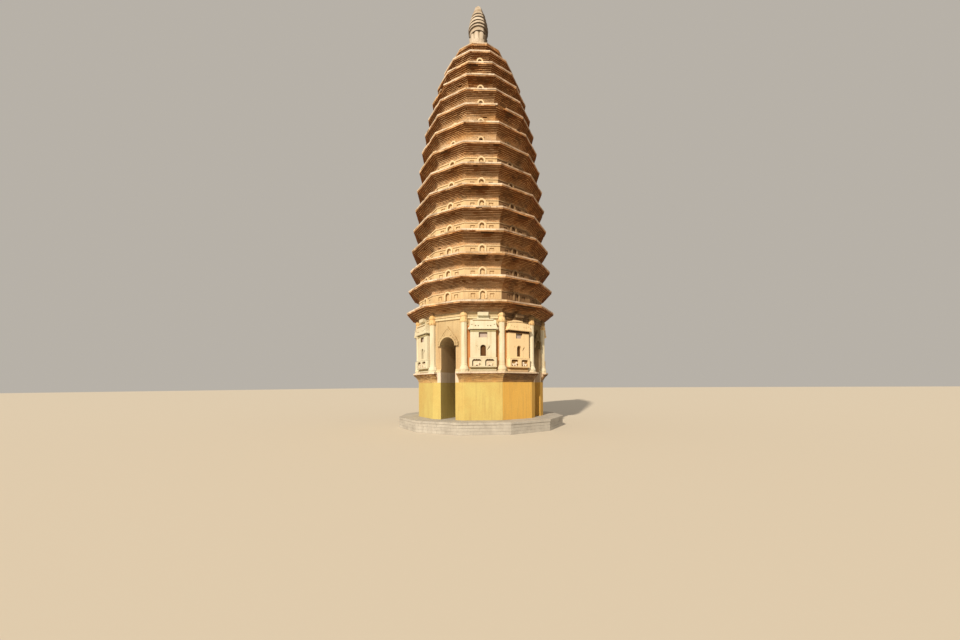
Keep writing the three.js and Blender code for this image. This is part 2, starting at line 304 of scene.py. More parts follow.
def inset(outline, distance):
    """The outline of (across, up) points, counter-clockwise, moved inwards."""
    moved = []
    count = len(outline)
    for i in range(count):
        before, here, after = (Vector(outline[j % count]) for j in (i - 1, i, i + 1))
        one = (here - before).normalized()
        two = (after - here).normalized()
        normal = Vector((-one.y, one.x))
        bisector = (normal + Vector((-two.y, two.x))).normalized()
        moved.append(tuple(here + bisector * (distance / max(0.35, bisector.dot(normal)))))
    return moved


def arch_points(middle, half, sill, spring, steps, pointed=0.0):
    """A round-headed opening from its left foot over the arch to its right foot, as (across, up) points."""
    points = [(middle - half, sill)]
    for i in range(steps + 1):
        angle = math.pi * (1 - i / steps)
        lift = pointed * max(0.0, 1 - abs(2 * i / steps - 1) * 2.2)
        points.append((middle + half * math.cos(angle), spring + half * math.sin(angle) + lift))
    points.append((middle + half, sill))
    return points


def round_hole(across, up, radius):
    """An eight-sided outline of (across, up) points round a middle."""
    turns = [math.pi / 4 * i for i in range(8)]
    return [(across + radius * math.cos(turn), up + radius * math.sin(turn)) for turn in turns]


def around_axis(centre, turn, radius, up):
    """A point at a turn about an upright axis, where the turn runs from 0 to 1 from -Y towards +X."""
    a = 2 * math.pi * turn
    return (centre[0] + radius * math.sin(a), centre[1] - radius * math.cos(a), up)


def blend(points, share):
    """Reads a value off (share, value) points."""
    return float(np.interp(share, [p[0] for p in points], [p[1] for p in points]))


def bedded(low, high):
    """The height of a course between two bed joints."""
    return (low + BED_JOINT / 2, high - BED_JOINT / 2)


def add_object(name, data):
    """Makes an object and puts it in the scene."""
    obj = bpy.data.objects.new(name, data)
    bpy.context.scene.collection.objects.link(obj)
    return obj


def show(name, mesh, materials, node=None, smooth=None):
    """Puts a mesh in the scene, riding on the tower and in place of a CAD node, if one is named.

    Edges flatter than the angle given are smooth.
    """
    for material in materials:
        mesh.materials.append(material)
    mesh.polygons.foreach_set("use_smooth", [smooth is not None] * len(mesh.polygons))
    obj = add_object(name, mesh)
    if smooth is not None:
        mesh.set_sharp_from_angle(angle=math.radians(smooth))
    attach(obj, "root")
    if node:
        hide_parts(node)
    return obj


def repaint(piece, material, chosen):
    """Gives another material to the faces of a piece that are chosen by their middle."""
    materials = piece.data.materials
    materials.append(material)
    for polygon in piece.data.polygons:
        if chosen(polygon.center):
            polygon.material_index = len(materials) - 1


class Builder:
    """Collects the faces of one mesh. A face has the builder's own material unless it is given another."""

    def __init__(self, material):
        self.points = []
        self.faces = []
        self.materials = [material]
        self.finishes = []

    def face(self, corners, material=None):
        start = len(self.points)
        self.points.extend(corners)
        self.faces.append(tuple(range(start, start + len(corners))))
        material = material or self.materials[0]
        if material not in self.materials:
            self.materials.append(material)
        self.finishes.append(self.materials.index(material))

    def strip(self, lower, upper, material=None, closed=True):
        """Sides between two rows of matching points."""
        count = len(lower)
        for i in range(count if closed else count - 1):
            j = (i + 1) % count
            corners = []
            for point in (lower[i], lower[j], upper[j], upper[i]):
                if all(math.dist(point, other) > 1e-5 for other in corners):
                    corners.append(point)
            if len(corners) > 2:
                self.face(corners, material)

    def loft(self, rows, material=None):
        """A closed solid through outlines with matching corners."""
        self.face(rows[0][::-1], material)
        for lower, upper in zip(rows, rows[1:]):
            self.strip(lower, upper, material)
        self.face(rows[-1], material)

    def box(self, angle, across, out, up, material=None, taper=0.0):
        """A block on a face: across, out and up are (low, high) pairs, and taper narrows its front."""
        outline = rectangle(across, up)
        front = inset(outline, taper) if taper else outline
        self.loft([flat(angle, outline, out[0]), flat(angle, front, out[1])], material)

    def plate(self, angle, outline, near, far, material=None, bevel=0.0):
        """A counter-clockwise outline in a face's plane, made thick outwards, with a bevelled front edge."""
        rows = [flat(angle, outline, near), flat(angle, outline, far - bevel)]
        if bevel > 0:
            rows.append(flat(angle, inset(outline, bevel), far))
        self.loft(rows, material)

    def arch_band(self, angle, outer, inner, near, far, material=None):
        """A raised band between two arches with matching points, open at its back."""
        sections = ((inner, near), (inner, far), (outer, far), (outer, near))
        rows = [flat(angle, points, out) for points, out in sections]
        for lower, upper in zip(rows, rows[1:]):
            self.strip(lower, upper, material, closed=False)
        self.face([row[0] for row in rows], material)
        self.face([row[-1] for row in rows[::-1]], material)

    def pierced(self, angle, out, across, up, openings, back):
        """A face panel with blind openings, each (points from left to right foot, depth), and their backs."""
        cursor = across[0]

        def panel(points):
            self.face(flat(angle, points, out))

        for points, depth in sorted(openings, key=lambda entry: entry[0][0][0]):
            left, sill = points[0]
            right = points[-1][0]
            panel(rectangle((cursor, left), up))
            if sill > up[0] + 1e-4:
                panel(rectangle((left, right), (up[0], sill)))
            for one, two in zip(points[1:-2], points[2:-1]):
                panel([one, two, (two[0], up[1]), (one[0], up[1])])
            sunk = flat(angle, points[::-1], out - depth)
            self.strip(flat(angle, points[::-1], out), sunk)
            self.face(sunk, back)
            cursor = right
        panel(rectangle((cursor, across[1]), up))

    def revolve(self, profile, sides, start=0.0, centre=AXIS, closed=False):
        """Turns (radius, height) points, outer side from bottom to top, about an upright axis."""
        rows = []
        for radius, up in profile:
            rows.append([around_axis(centre, start + i / sides, radius, up) for i in range(sides)])
        if closed:
            rows.append(rows[0])
        for lower, upper in zip(rows, rows[1:]):
            self.strip(lower, upper)

    def carve(self, around, rows, surface, centre=AXIS, material=None):
        """A closed body of revolution whose surface(turn, rise) gives a radius and a height."""
        grid = []
        for j in range(rows + 1):
            turns = [i / around for i in range(around)]
            grid.append([around_axis(centre, turn, *surface(turn, j / rows)) for turn in turns])
        self.loft(grid, material)

    def lotus(self, base, top, profile, petals, relief, grid, centre=AXIS, hanging=False, turn=0.0,
              material=None):
        """Carved petals in two layers over a turned core whose radii are the profile's.

        The grid gives the points across each petal and the rows up it.
        """

        def surface(around, rise):
            up = 1 - rise if hanging else rise
            place = (around * petals + turn) % 1 * 2 - 1
            behind = (around * petals + turn + 0.5) % 1 * 2 - 1
            bump = max(petal(place, up / 0.86), 0.55 * petal(behind, up))
            return blend(profile, rise) + relief * bump, base + (top - base) * rise

        self.carve(petals * grid[0], grid[1], surface, centre, material)

    def lump(self, angle, middle, size, material):
        """A small rounded lump on a face, with its middle and half sizes as (across, out, up)."""
        around = 10
        rows = 7
        grid = []
        for j in range(1, rows):
            b = math.pi * j / rows - math.pi / 2
            row = []
            for i in range(around):
                a = 2 * math.pi * i / around
                across = middle[0] + size[0] * math.cos(b) * math.cos(a)
                out = middle[1] - size[1] * math.cos(b) * math.sin(a)
                row.append(on_face(angle, across, out, middle[2] + size[2] * math.sin(b)))
            grid.append(row)
        self.loft(grid, material)

    def scroll(self, angle, middle, up, out, radius, hand, turns=1.25, thickness=0.022, material=None):
        """A cloud scroll in relief: a round moulding that winds inwards."""
        steps = 18
        section = 6
        rows = []
        for i in range(steps + 1):
            share = i / steps
            a = hand * 2 * math.pi * turns * share + (0 if hand > 0 else math.pi)
            reach = radius * (1 - 0.78 * share)
            girth = thickness * (1 - 0.45 * share)
            row = []
            for k in range(section):
                b = 2 * math.pi * k / section
                r = reach + girth * math.cos(b)
                across = middle + r * math.cos(a)
                row.append(on_face(angle, across, out + girth * math.sin(b), up + r * math.sin(a)))
            rows.append(row if hand > 0 else row[::-1])
        self.loft(rows, material)

    def finish(self, name, slot, node=None, smooth=None):
        """Makes the object, with shared corners welded."""
        mesh = bpy.data.meshes.new(name)
        mesh.from_pydata(self.points, [], self.faces)
        mesh.polygons.foreach_set("material_index", self.finishes)
        work = bmesh.new()
        work.from_mesh(mesh)
        bmesh.ops.remove_doubles(work, verts=work.verts, dist=0.0003)
        work.to_mesh(mesh)
        work.free()
        return show(name, mesh, self.materials, node, smooth)


class Bricks:
    """Collects six-sided blocks as arrays of eight corners, each with a tone and one of the materials."""

    QUADS = np.array([[3, 2, 1, 0], [4, 5, 6, 7], [0, 1, 5, 4], [1, 2, 6, 5], [2, 3, 7, 6], [3, 0, 4, 7]])
    UNDERSIDE = 2

    def __init__(self, *materials):
        self.materials = materials
        self.corners = []
        self.tones = []
        self.finishes = []

    def course(
        self, angle, out, up, shift, across=None, length=BRICK_LENGTH, depth=BRICK_DEPTH, material=None,
        tone=0.5, spread=0.2, rough=0.003, lost=0.0, worn=0.0, soot=(), blackness=0.0, chips=(),
    ):
        """One row of blocks along a face, mitred at the tower's corners.

        Rough is how unevenly the blocks stand. Lost and worn are the shares that are missing or pushed in.
        Soot and chips are (middle, half width) pairs, of blackened blocks and of missing ones.
        """
        reach = out * TAN_HALF
        low, high = across or (-reach, reach)
        pitch = length + END_JOINT
        inner = np.arange(low + pitch * (0.35 + 0.5 * shift), high - pitch * 0.3, pitch)
        left = np.concatenate([[low], inner + END_JOINT / 2])
        right = np.concatenate([inner - END_JOINT / 2, [high]])
        count = len(left)
        push = numbers.normal(0, rough, count)
        push -= np.where(numbers.random(count) < worn, numbers.uniform(0.02, 0.07, count), 0.0)
        kept = numbers.random(count) >= lost
        middles = (left + right) / 2
        for middle, half in chips:
            kept &= np.abs(middles - middle) > half
        limit = max(0.0, (out - depth) * TAN_HALF)
        u = np.stack([left, right, right, left] * 2, 1)
        u[:, :4] = np.clip(u[:, :4], -limit, limit)
        v = np.full((count, 8), float(out - depth))
        v[:, 4:] = (out + push)[:, None] + numbers.normal(0, rough * 0.5, (count, 4))
        z = np.tile([up[0], up[0], up[1], up[1]], (count, 2))
        z[:, 4:] += numbers.normal(0, rough * 0.4, (count, 4))
        shades = np.clip(tone + numbers.normal(0, spread, count), 0, 1)
        for middle, half in soot:
            near = np.clip(1.3 * (1 - np.abs(middles - middle) / half), 0, 1)
            shades -= near * blackness * numbers.uniform(0.6, 1.2, count)
        self.corners.append(np.stack(on_face(angle, u, v, z), 2)[kept])
        self.tones.append(shades[kept])
        finish = self.materials.index(material or self.materials[0])
        self.finishes.append(np.full(int(kept.sum()), finish))

    def finish(self, name, slot, node=None):
        corners = np.concatenate(self.corners)
        count = len(corners)
        quads = (np.arange(count)[:, None, None] * 8 + self.QUADS[None]).reshape(-1)
        finishes = np.repeat(np.concatenate(self.finishes), 6)
        tones = np.repeat(np.concatenate(self.tones)[:, None], 6, 1)
        # Painted shade: the undersides' tones are lowered.
        under = tones[:, self.UNDERSIDE]
        tones[:, self.UNDERSIDE] = np.where(under > 0, np.maximum(under + UNDERSIDE_SHADE_TONE, 0.01), under)
        mesh = bpy.data.meshes.new(name)
        mesh.vertices.add(count * 8)
        mesh.vertices.foreach_set("co", corners.astype(np.float32).ravel())
        mesh.loops.add(count * 24)
        mesh.loops.foreach_set("vertex_index", quads.astype(np.int32))
        mesh.polygons.add(count * 6)
        mesh.polygons.foreach_set("loop_start", np.arange(0, count * 24, 4, dtype=np.int32))
        mesh.polygons.foreach_set("material_index", finishes.astype(np.int32))
        tone = mesh.attributes.new("tone", "FLOAT", "FACE")
        tone.data.foreach_set("value", tones.ravel().astype(np.float32))
        mesh.update(calc_edges=True)
        return show(name, mesh, self.materials, node)


class Shade:
    """Builds the nodes of one material on positions in metres."""

    def __init__(self, name, roughness):
        self.material = bpy.data.materials.new(name)
        self.material.use_nodes = True
        self.tree = self.material.node_tree
        self.surface = self.tree.nodes["Principled BSDF"]
        self.surface.inputs["Roughness"].default_value = roughness
        self.surface.inputs["Specular IOR Level"].default_value = 0.25
        self.place = self.tree.nodes.new("ShaderNodeTexCoord").outputs["Object"]

    def join(self, value, socket):
        """Gives a socket a number, a colour, a vector or another node's output."""
        if isinstance(value, (int, float)):
            socket.default_value = value
        elif isinstance(value, tuple):
            socket.default_value = value + (1.0,) * (len(socket.default_value) - 3)
        else:
            self.tree.links.new(value, socket)

    def node(self, kind, inputs=(), **settings):
        """A new node with its settings and with its inputs joined, as (socket, value) pairs."""
        node = self.tree.nodes.new(f"ShaderNode{kind}")
        for name, value in settings.items():
            setattr(node, name, value)
        for socket, value in inputs:
            self.join(value, node.inputs[socket])
        return node

    def noise(self, scale, detail, roughness=0.6, stretch=(1, 1, 1)):
        place = self.node("Mapping", [("Vector", self.place), ("Scale", stretch)]).outputs["Vector"]
        inputs = [("Vector", place), ("Scale", scale), ("Detail", detail), ("Roughness", roughness)]
        return self.node("TexNoise", inputs).outputs["Fac"]

    def span(self, value, low, high, start=0.0, end=1.0):
        """Maps a value from one range to another, and stops at its ends."""
        return self.node("MapRange", enumerate((value, low, high, start, end))).outputs["Result"]

    def math(self, operation, one, two=0.0, clamp=True):
        inputs = [(0, one), (1, two)]
        return self.node("Math", inputs, operation=operation, use_clamp=clamp).outputs[0]

    def free(self, operation, one, two=0.0):
        """Math whose result may leave the range from 0 to 1."""
        return self.math(operation, one, two, clamp=False)

    def mix(self, share, one, two, how="MIX"):
        inputs = [("Factor", share), (6, one), (7, two)]
        return self.node("Mix", inputs, data_type="RGBA", blend_type=how).outputs[2]

    def wash(self, base, mask, share, colour):
        """A base with a share of another colour where the mask is 1."""
        return self.mix(self.math("MULTIPLY", mask, share), base, colour)

    def tint(self, base, colour):
        return self.mix(1.0, base, colour, "MULTIPLY")

    def dim(self, base, value):
        """A base made lighter or darker by a number."""
        return self.tint(base, self.node("CombineColor", [(i, value) for i in range(3)]).outputs[0])

    def axis(self, name):
        return self.node("SeparateXYZ", [(0, self.place)]).outputs[name]

    def away(self, name):
        """Distance along an axis to either side."""
        return self.free("ABSOLUTE", self.axis(name))

    def height(self, low, high):
        """0 below one height and 1 above another."""
        return self.span(self.axis("Z"), low, high)

    def shaded_side(self):
        """1 on the three faces about +X and 0 elsewhere."""
        return self.span(self.math("SUBTRACT", self.axis("X"), self.away("Y")), 0.0, 0.06)

    def door_side(self):
        """1 on the faces with doors and 0 on the others."""
        x, y = (self.span(self.away(name), DOOR_FACE_HALF, DOOR_FACE_HALF + 0.02) for name in "XY")
        return self.math("SUBTRACT", 1.0, self.math("MULTIPLY", x, y))

    def above_caps(self):
        """1 on the upper walls above the niches' caps, on the shaded side, where shade under the first eave
        is painted.
        """
        return self.math("MULTIPLY", self.shaded_side(), self.height(CAP_TOP, CAP_TOP + 0.08))

    def right_gable(self):
        """1 on the upper part of the face about +X, where shade is painted."""
        across = self.free("MULTIPLY", self.away("Y"), 1 / TAN_HALF)
        face = self.span(self.free("SUBTRACT", self.axis("X"), across), 0.0, 0.06)
        return self.math("MULTIPLY", face, self.height(5.4, 6.8))

    def petal_joints(self):
        """1 in the joints between the petals of the finial's drum and of the bowl under it, where shade is
        painted.
        """
        turn = self.free("ARCTAN2", self.axis("X"), self.free("MULTIPLY", self.axis("Y"), -1.0))
        turn = self.free("MULTIPLY", turn, DRUM_PETALS / (2 * math.pi))
        place = self.math("FRACT", self.free("ADD", turn, DRUM_TURN))
        place = self.math("ABSOLUTE", self.span(place, 0.0, 1.0, -1.0, 1.0))
        rise = self.math("POWER", self.height(DRUM_BASE, DRUM_TOP), PETAL_BLUNT)
        edge = self.math("MULTIPLY", self.math("SQRT", self.math("SUBTRACT", 1.0, rise)), PETAL_EDGE)
        joint = self.span(self.free("SUBTRACT", place, edge), -0.15, 0.0)
        return self.math("MULTIPLY", joint, self.height(BOWL_BASE + 0.06, DRUM_BASE + 0.05))

    def finish(self, colour, grain, strength, distance):
        """The material, with its colour and with its grain as small bumps."""
        bump = self.node("Bump", [("Strength", strength), ("Distance", distance), ("Height", grain)])
        self.join(bump.outputs["Normal"], self.surface.inputs["Normal"])
        self.join(colour, self.surface.inputs["Base Color"])
        return self.material


def plaster(name, clean, stained, dirty, grain=0.35, washes=()):
    """Lime plaster with broad stains, rain streaks and fine grain. Each wash is (mask, share, colour)."""
    shade = Shade(name, 0.92)
    streaks = shade.span(shade.noise(1.6, 5, stretch=(3.2, 3.2, 0.22)), 0.52, 0.78)
    patches = shade.span(shade.noise(3.5, 8, 0.7), 0.58, 0.74)
    fine = shade.noise(22, 4)
    base = shade.mix(shade.span(shade.noise(0.45, 6, 0.62), 0.42, 0.66), clean, stained)
    for mask, share, colour in washes:
        base = shade.wash(base, mask(shade), share, colour)
    base = shade.wash(base, streaks, 0.55, dirty)
    base = shade.wash(base, patches, 0.6, stained)
    base = shade.dim(base, shade.span(fine, 0.3, 0.7, 0.86, 1.06))
    return shade.finish(base, shade.math("ADD", fine, patches), grain, 0.012)


def brickwork(name, dark, middle, light, soot, soot_share=0.8, shaded=(0.80, 0.66, 0.52)):
    """Bricks whose colour follows each one's tone, lowered on undersides as painted shade, with soot in broad
    patches, and with painted shade and more dark patches on the side about +X.
    """
    shade = Shade(name, 0.93)
    tone = shade.node("Attribute", attribute_name="tone").outputs["Fac"]
    base = shade.mix(shade.span(tone, 0.0, 0.5), dark, middle)
    base = shade.mix(shade.span(tone, 0.5, 1.0), base, light)
    base = shade.dim(base, shade.span(shade.noise(0.8, 6, 0.65), 0.35, 0.7, 0.72, 1.12))
    warm = shade.span(shade.noise(0.5, 5), 0.48, 0.62)
    base = shade.wash(base, warm, 0.7, shade.tint(base, (1.0, 0.82, 0.55)))
    side = shade.shaded_side()
    # Painted shade on the side about +X.
    base = shade.mix(side, base, shade.tint(base, shaded))
    patches = shade.span(shade.noise(0.55, 7, 0.7, stretch=(1, 1, 1.6)), 0.54, 0.70)
    more = shade.math("MULTIPLY", side, shade.span(shade.noise(1.3, 7, 0.75), 0.50, 0.66))
    base = shade.wash(base, shade.math("MAXIMUM", patches, more), soot_share, soot)
    base = shade.wash(base, shade.span(tone, -0.35, 0.0, 1.0, 0.0), 0.92, soot)
    fine = shade.noise(30, 4, 0.65)
    base = shade.dim(base, shade.span(fine, 0.3, 0.7, 0.85, 1.08))
    return shade.finish(base, fine, 0.5, 0.006)


def carved_stone(name, light, dark, stain, side_shade=0.0, joints=None):
    """Weathered grey stone with lichen and pits, with painted shade on its side about +X and in its joints,
    if any.
    """
    shade = Shade(name, 0.88)
    blotches = shade.span(shade.noise(4.5, 8, 0.72), 0.56, 0.72)
    streaks = shade.span(shade.noise(2.2, 5, stretch=(2.6, 2.6, 0.3)), 0.5, 0.75)
    pits = shade.noise(38, 5, 0.7)
    base = shade.mix(shade.span(shade.noise(1.1, 7, 0.65), 0.38, 0.66), light, dark)
    base = shade.wash(base, blotches, 0.5, stain)
    base = shade.wash(base, streaks, 0.45, dark)
    # Painted shade on the finial's side about +X.
    turned = shade.math("ADD", shade.free("MULTIPLY", shade.axis("X"), SHADE_SLOPE), shade.axis("Y"))
    turned = shade.math("MULTIPLY", shade.span(turned, 0.0, 0.12), shade.span(shade.axis("X"), 0.0, 0.2))
    base = shade.wash(base, turned, side_shade, (0.08, 0.052, 0.03))
    # Painted shade in the joints.
    if joints:
        base = shade.wash(base, joints(shade), 0.75, (0.19, 0.14, 0.065))
    base = shade.dim(base, shade.span(pits, 0.3, 0.7, 0.84, 1.06))
    return shade.finish(base, pits, 0.5, 0.01)


# Plasters, as (clean, stained, dirty)
# Painted shade under the first eave, above the caps on the side about +X.
CAP_TOP_SHADE = (Shade.above_caps, 0.95, (0.12, 0.065, 0.03))
# Painted shade on the upper part of the face about +X.
RIGHT_GABLE_SHADE = (Shade.right_gable, 0.9, (0.13, 0.085, 0.025))
CREAM = plaster("cream_plaster", (0.73, 0.68, 0.52), (0.68, 0.58, 0.40), (0.48, 0.34, 0.19))
BANDS = plaster(
    "band_plaster", (0.73, 0.63, 0.42), (0.66, 0.53, 0.33), (0.46, 0.32, 0.18), washes=[CAP_TOP_SHADE],
)
OCHRE = plaster("ochre_plaster", (0.60, 0.49, 0.17), (0.56, 0.41, 0.135), (0.42, 0.27, 0.10), washes=[
    (Shade.shaded_side, 0.75, (0.76, 0.42, 0.08)),
])
WALL = plaster("terracotta_plaster", (0.50, 0.20, 0.065), (0.55, 0.27, 0.10), (0.30, 0.14, 0.055), washes=[
    (Shade.shaded_side, 0.6, (0.74, 0.33, 0.08)),
    (lambda shade: shade.height(7.72, 7.84), 0.95, (0.60, 0.47, 0.27)),
    (Shade.door_side, 0.95, (0.56, 0.42, 0.24)),
    RIGHT_GABLE_SHADE,
    CAP_TOP_SHADE,
])
DOOR_PLASTER = plaster(
    "door_plaster", (0.58, 0.45, 0.26), (0.48, 0.35, 0.19), (0.27, 0.175, 0.10), washes=[RIGHT_GABLE_SHADE],
)
RELIEF = plaster("relief_plaster", (0.68, 0.65, 0.50), (0.65, 0.57, 0.40), (0.48, 0.35, 0.19), washes=[
    (Shade.shaded_side, 0.80, (0.93, 0.68, 0.38)),
    CAP_TOP_SHADE,
])
# The neck plasters' washes on the side about +X are painted shade.
NECK = plaster("neck_plaster", (0.74, 0.56, 0.33), (0.64, 0.45, 0.24), (0.36, 0.23, 0.12), 0.5, [
    (Shade.shaded_side, 0.95, (0.19, 0.10, 0.045)),
])
NECK_TRIM = plaster("neck_trim", (0.82, 0.66, 0.42), (0.74, 0.56, 0.34), (0.42, 0.28, 0.15), 0.5, [
    (Shade.shaded_side, 0.9, (0.26, 0.15, 0.07)),
])
LIME = plaster("lime_wash", (0.76, 0.66, 0.54), (0.66, 0.54, 0.41), (0.36, 0.27, 0.19), 0.6, [
    (Shade.shaded_side, 0.6, (0.56, 0.40, 0.24)),
])
BULB = plaster("bulb_plaster", (0.80, 0.60, 0.33), (0.70, 0.44, 0.18), (0.30, 0.17, 0.08), 0.6, [
    (lambda shade: shade.span(shade.noise(6.5, 3), 0.60, 0.66), 0.75, (0.20, 0.10, 0.045)),
    # Painted shade on the bulbs' tops on the side about +X.
    (lambda shade: shade.math("MULTIPLY", shade.shaded_side(), shade.height(8.3, 8.4)), 0.85,
     (0.20, 0.12, 0.05)),
])
RECESS = plaster("recess_shade", (0.13, 0.06, 0.018), (0.10, 0.045, 0.015), (0.06, 0.03, 0.01))
DEEP_SHADE = plaster("deep_shade", (0.05, 0.022, 0.008), (0.04, 0.018, 0.007), (0.03, 0.013, 0.005))
# The olive and sunk plasters are painted shade, for shadowed and sunk places.
OLIVE = plaster("olive_shade", (0.46, 0.40, 0.22), (0.42, 0.34, 0.17), (0.30, 0.22, 0.10))
LION = plaster("lion_plaster", (0.86, 0.74, 0.61), (0.78, 0.62, 0.46), (0.50, 0.36, 0.24))
BROWN = plaster("sunk_shade", (0.38, 0.22, 0.08), (0.31, 0.17, 0.06), (0.18, 0.10, 0.04))
TABLET = plaster("tablet_stone", (0.46, 0.37, 0.34), (0.52, 0.43, 0.37), (0.36, 0.28, 0.26))
MORTAR = plaster("old_mortar", (0.18, 0.075, 0.02), (0.22, 0.10, 0.03), (0.10, 0.05, 0.015))

# Bricks, as (dark, middle, light, soot), and stones, as (light, dark, stain)
# Each brickwork's shaded colour darkens it on the side about +X, as painted shade.
WARM_BRICK = brickwork(
    "warm_brick", (0.24, 0.08, 0.015), (0.80, 0.50, 0.26), (0.94, 0.68, 0.42), (0.07, 0.04, 0.018),
)
WAIST_BRICK = brickwork(
    "waist_brick", (0.22, 0.09, 0.015), (0.74, 0.49, 0.21), (0.86, 0.64, 0.32), (0.07, 0.04, 0.018),
    shaded=(0.46, 0.37, 0.30),
)
PALE_BRICK = brickwork(
    "pale_brick", (0.26, 0.10, 0.025), (0.82, 0.56, 0.33), (0.95, 0.74, 0.50), (0.08, 0.05, 0.022),
)
ROOF_BRICK = brickwork(
    "roof_brick", (0.38, 0.30, 0.21), (0.52, 0.43, 0.31), (0.64, 0.54, 0.41), (0.14, 0.12, 0.09), 0.6,
)
LIP_BRICK = brickwork(
    "lip_brick", (0.28, 0.17, 0.09), (0.76, 0.61, 0.46), (0.90, 0.76, 0.61), (0.12, 0.09, 0.06), 0.5,
    (0.72, 0.62, 0.56),
)
FINIAL_STONE = carved_stone("finial_stone", (0.68, 0.59, 0.49), (0.40, 0.31, 0.22), (0.30, 0.24, 0.14), 0.92)
LOTUS_STONE = carved_stone(
    "lotus_stone", (0.72, 0.62, 0.52), (0.46, 0.38, 0.29), (0.34, 0.29, 0.17), 0.9, Shade.petal_joints,
)
# Dark stone for the rings' grooves and upper slopes, as painted shade.
RING_SHADE_STONE = carved_stone(
    "finial_ring_shade", (0.13, 0.095, 0.065), (0.09, 0.065, 0.045), (0.06, 0.045, 0.03),
)
PLATFORM_STONE = carved_stone("platform_stone", (0.52, 0.49, 0.44), (0.40, 0.37, 0.33), (0.30, 0.27, 0.22))


def paint(node, material):
    """Gives a CAD node that stays its material."""
    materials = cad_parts[node].data.materials
    materials.clear()
    materials.append(material)


def build_platform():
    """Courses of stone blocks under a coping, and paving behind it, round a core."""
    core = Builder(PLATFORM_STONE)
    radius = PLATFORM_RADIUS - 0.03
    top = PLATFORM_TOP - 0.01
    core.revolve([(0, 0), (radius, 0), (radius, top), (0, top)], SIDES, 0.5 / SIDES)
    core.finish("platform_core", "platform_stone")

    # Rows as (distance out, low, high, shift, block length, depth, roughness)
    out = PLATFORM_RADIUS * COS_HALF
    rows = []
    for row in range(3):
        low = STONE_COURSE * row
        rows.append((out, low + 0.008, low + STONE_COURSE - 0.004, row % 2, 0.78, 0.35, 0.004))
    rows.append((out + 0.046, COPING_BASE, PLATFORM_TOP, 0.5, 1.1, 0.5, 0.003))
    ring = out - 0.45
    while ring > LOWER_OUT - 0.2:
        rows.append((ring, PAVING_BASE, PLATFORM_TOP - 0.002, ring * 7 % 1, 0.62, 0.42, 0.002))
        ring -= PAVING_STEP
    blocks = Bricks(PLATFORM_STONE)
    for out, low, high, shift, length, depth, rough in rows:
        for angle in FACE_ANGLES:
            blocks.course(angle, out, (low, high), shift, length=length, depth=depth, rough=rough)
    blocks.finish("platform_stones", "platform_stone", "platform")


def quarter(start, out, up, edge=WAIST_BREAK_HALF):
    """Outline of a wall quarter between two doorways, counter-clockwise, its outer face at a distance."""
    end = start + 90
    points = [(start, DOOR_HALF, LOWER_OUT), (start, edge, LOWER_OUT), (start, edge, out)]
    points += [(start + FACE_STEP * i, out * TAN_HALF, out) for i in range(3)]
    points += [(end, -edge, out), (end, -edge, LOWER_OUT), (end, -DOOR_HALF, LOWER_OUT)]
    points.append((end, -DOOR_HALF, ROOM_OUT))
    points += [(end - FACE_STEP * i, -ROOM_OUT * TAN_HALF, ROOM_OUT) for i in range(3)]
    points.append((start, DOOR_HALF, ROOM_OUT))
    return [on_face(angle, across, distance, up) for angle, across, distance in points]


def corbel_steps(wall, lip, base, top):
    """Rows of a concave corbel as (distance out, low, high), from the wall to just inside the lip."""
    count = max(3, round((top - base) / COURSE))
    rise = (top - base) / count
    rows = []
    for i in range(count):
        share = (i + 1) / (count + 1)
        rows.append((wall + (lip - wall) * share ** 1.9, base + rise * i, base + rise * (i + 1)))
    return rows


def waist_span(turn, out):
    """Where a course of the waist cornice runs across a face, turned from its quarter's first doorway."""
    reach = out * TAN_HALF
    return (WAIST_BREAK_HALF if turn == 0 else -reach, -WAIST_BREAK_HALF if turn == 90 else reach)


def build_lower_walls():
    """Plain plastered quarters under a waist cornice of corbelled bricks with a pale lip."""
    steps = corbel_steps(LOWER_OUT, WAIST_LIP_OUT, WAIST_CORBEL_BASE, WAIST_LIP_BASE)
    lip = [
        (WAIST_LIP_OUT - 0.03, WAIST_LIP_BASE, WAIST_LIP_BASE + 0.055, WAIST_BRICK),
        (WAIST_LIP_OUT, WAIST_LIP_BASE + 0.065, DECK - 0.012, LIME),
    ]
    for index, side in enumerate(QUARTERS):
        start = 90 * index
        wall = Builder(OCHRE)
        wall.loft([quarter(start, LOWER_OUT, up) for up in (PLATFORM_TOP, WAIST_CORBEL_BASE)])
        wall.finish(f"lower_wall_plaster_{side}", "lower_plaster", f"lower_wall_{side}")

        core = Builder(LIME)
        rows = []
        for out, low, high in steps + [(WAIST_LIP_OUT, WAIST_LIP_BASE, DECK)]:
            rows += [quarter(start, out - CORE_SETBACK, up, WAIST_BREAK_HALF + 0.02) for up in (low, high)]
        core.loft(rows)
        core.finish(f"waist_cornice_core_{side}", "lower_plaster")

        bricks = Bricks(WAIST_BRICK, LIME)
        for turn in (0, 30, 60, 90):
            for row, (out, low, high) in enumerate(steps):
                bricks.course(start + turn, out, bedded(low, high), row % 2, waist_span(turn, out),
                              tone=0.5 - 0.04 * row, spread=0.10)
            # The lip's lower course of bricks is dark, as painted shade.
            for row, (out, low, high, material) in enumerate(lip):
                bricks.course(start + turn, out, (low, high), row, waist_span(turn, out), depth=0.3,
                              material=material, tone=0.0, spread=0.08)
        bricks.finish(f"waist_cornice_bricks_{side}", "eave_brick")


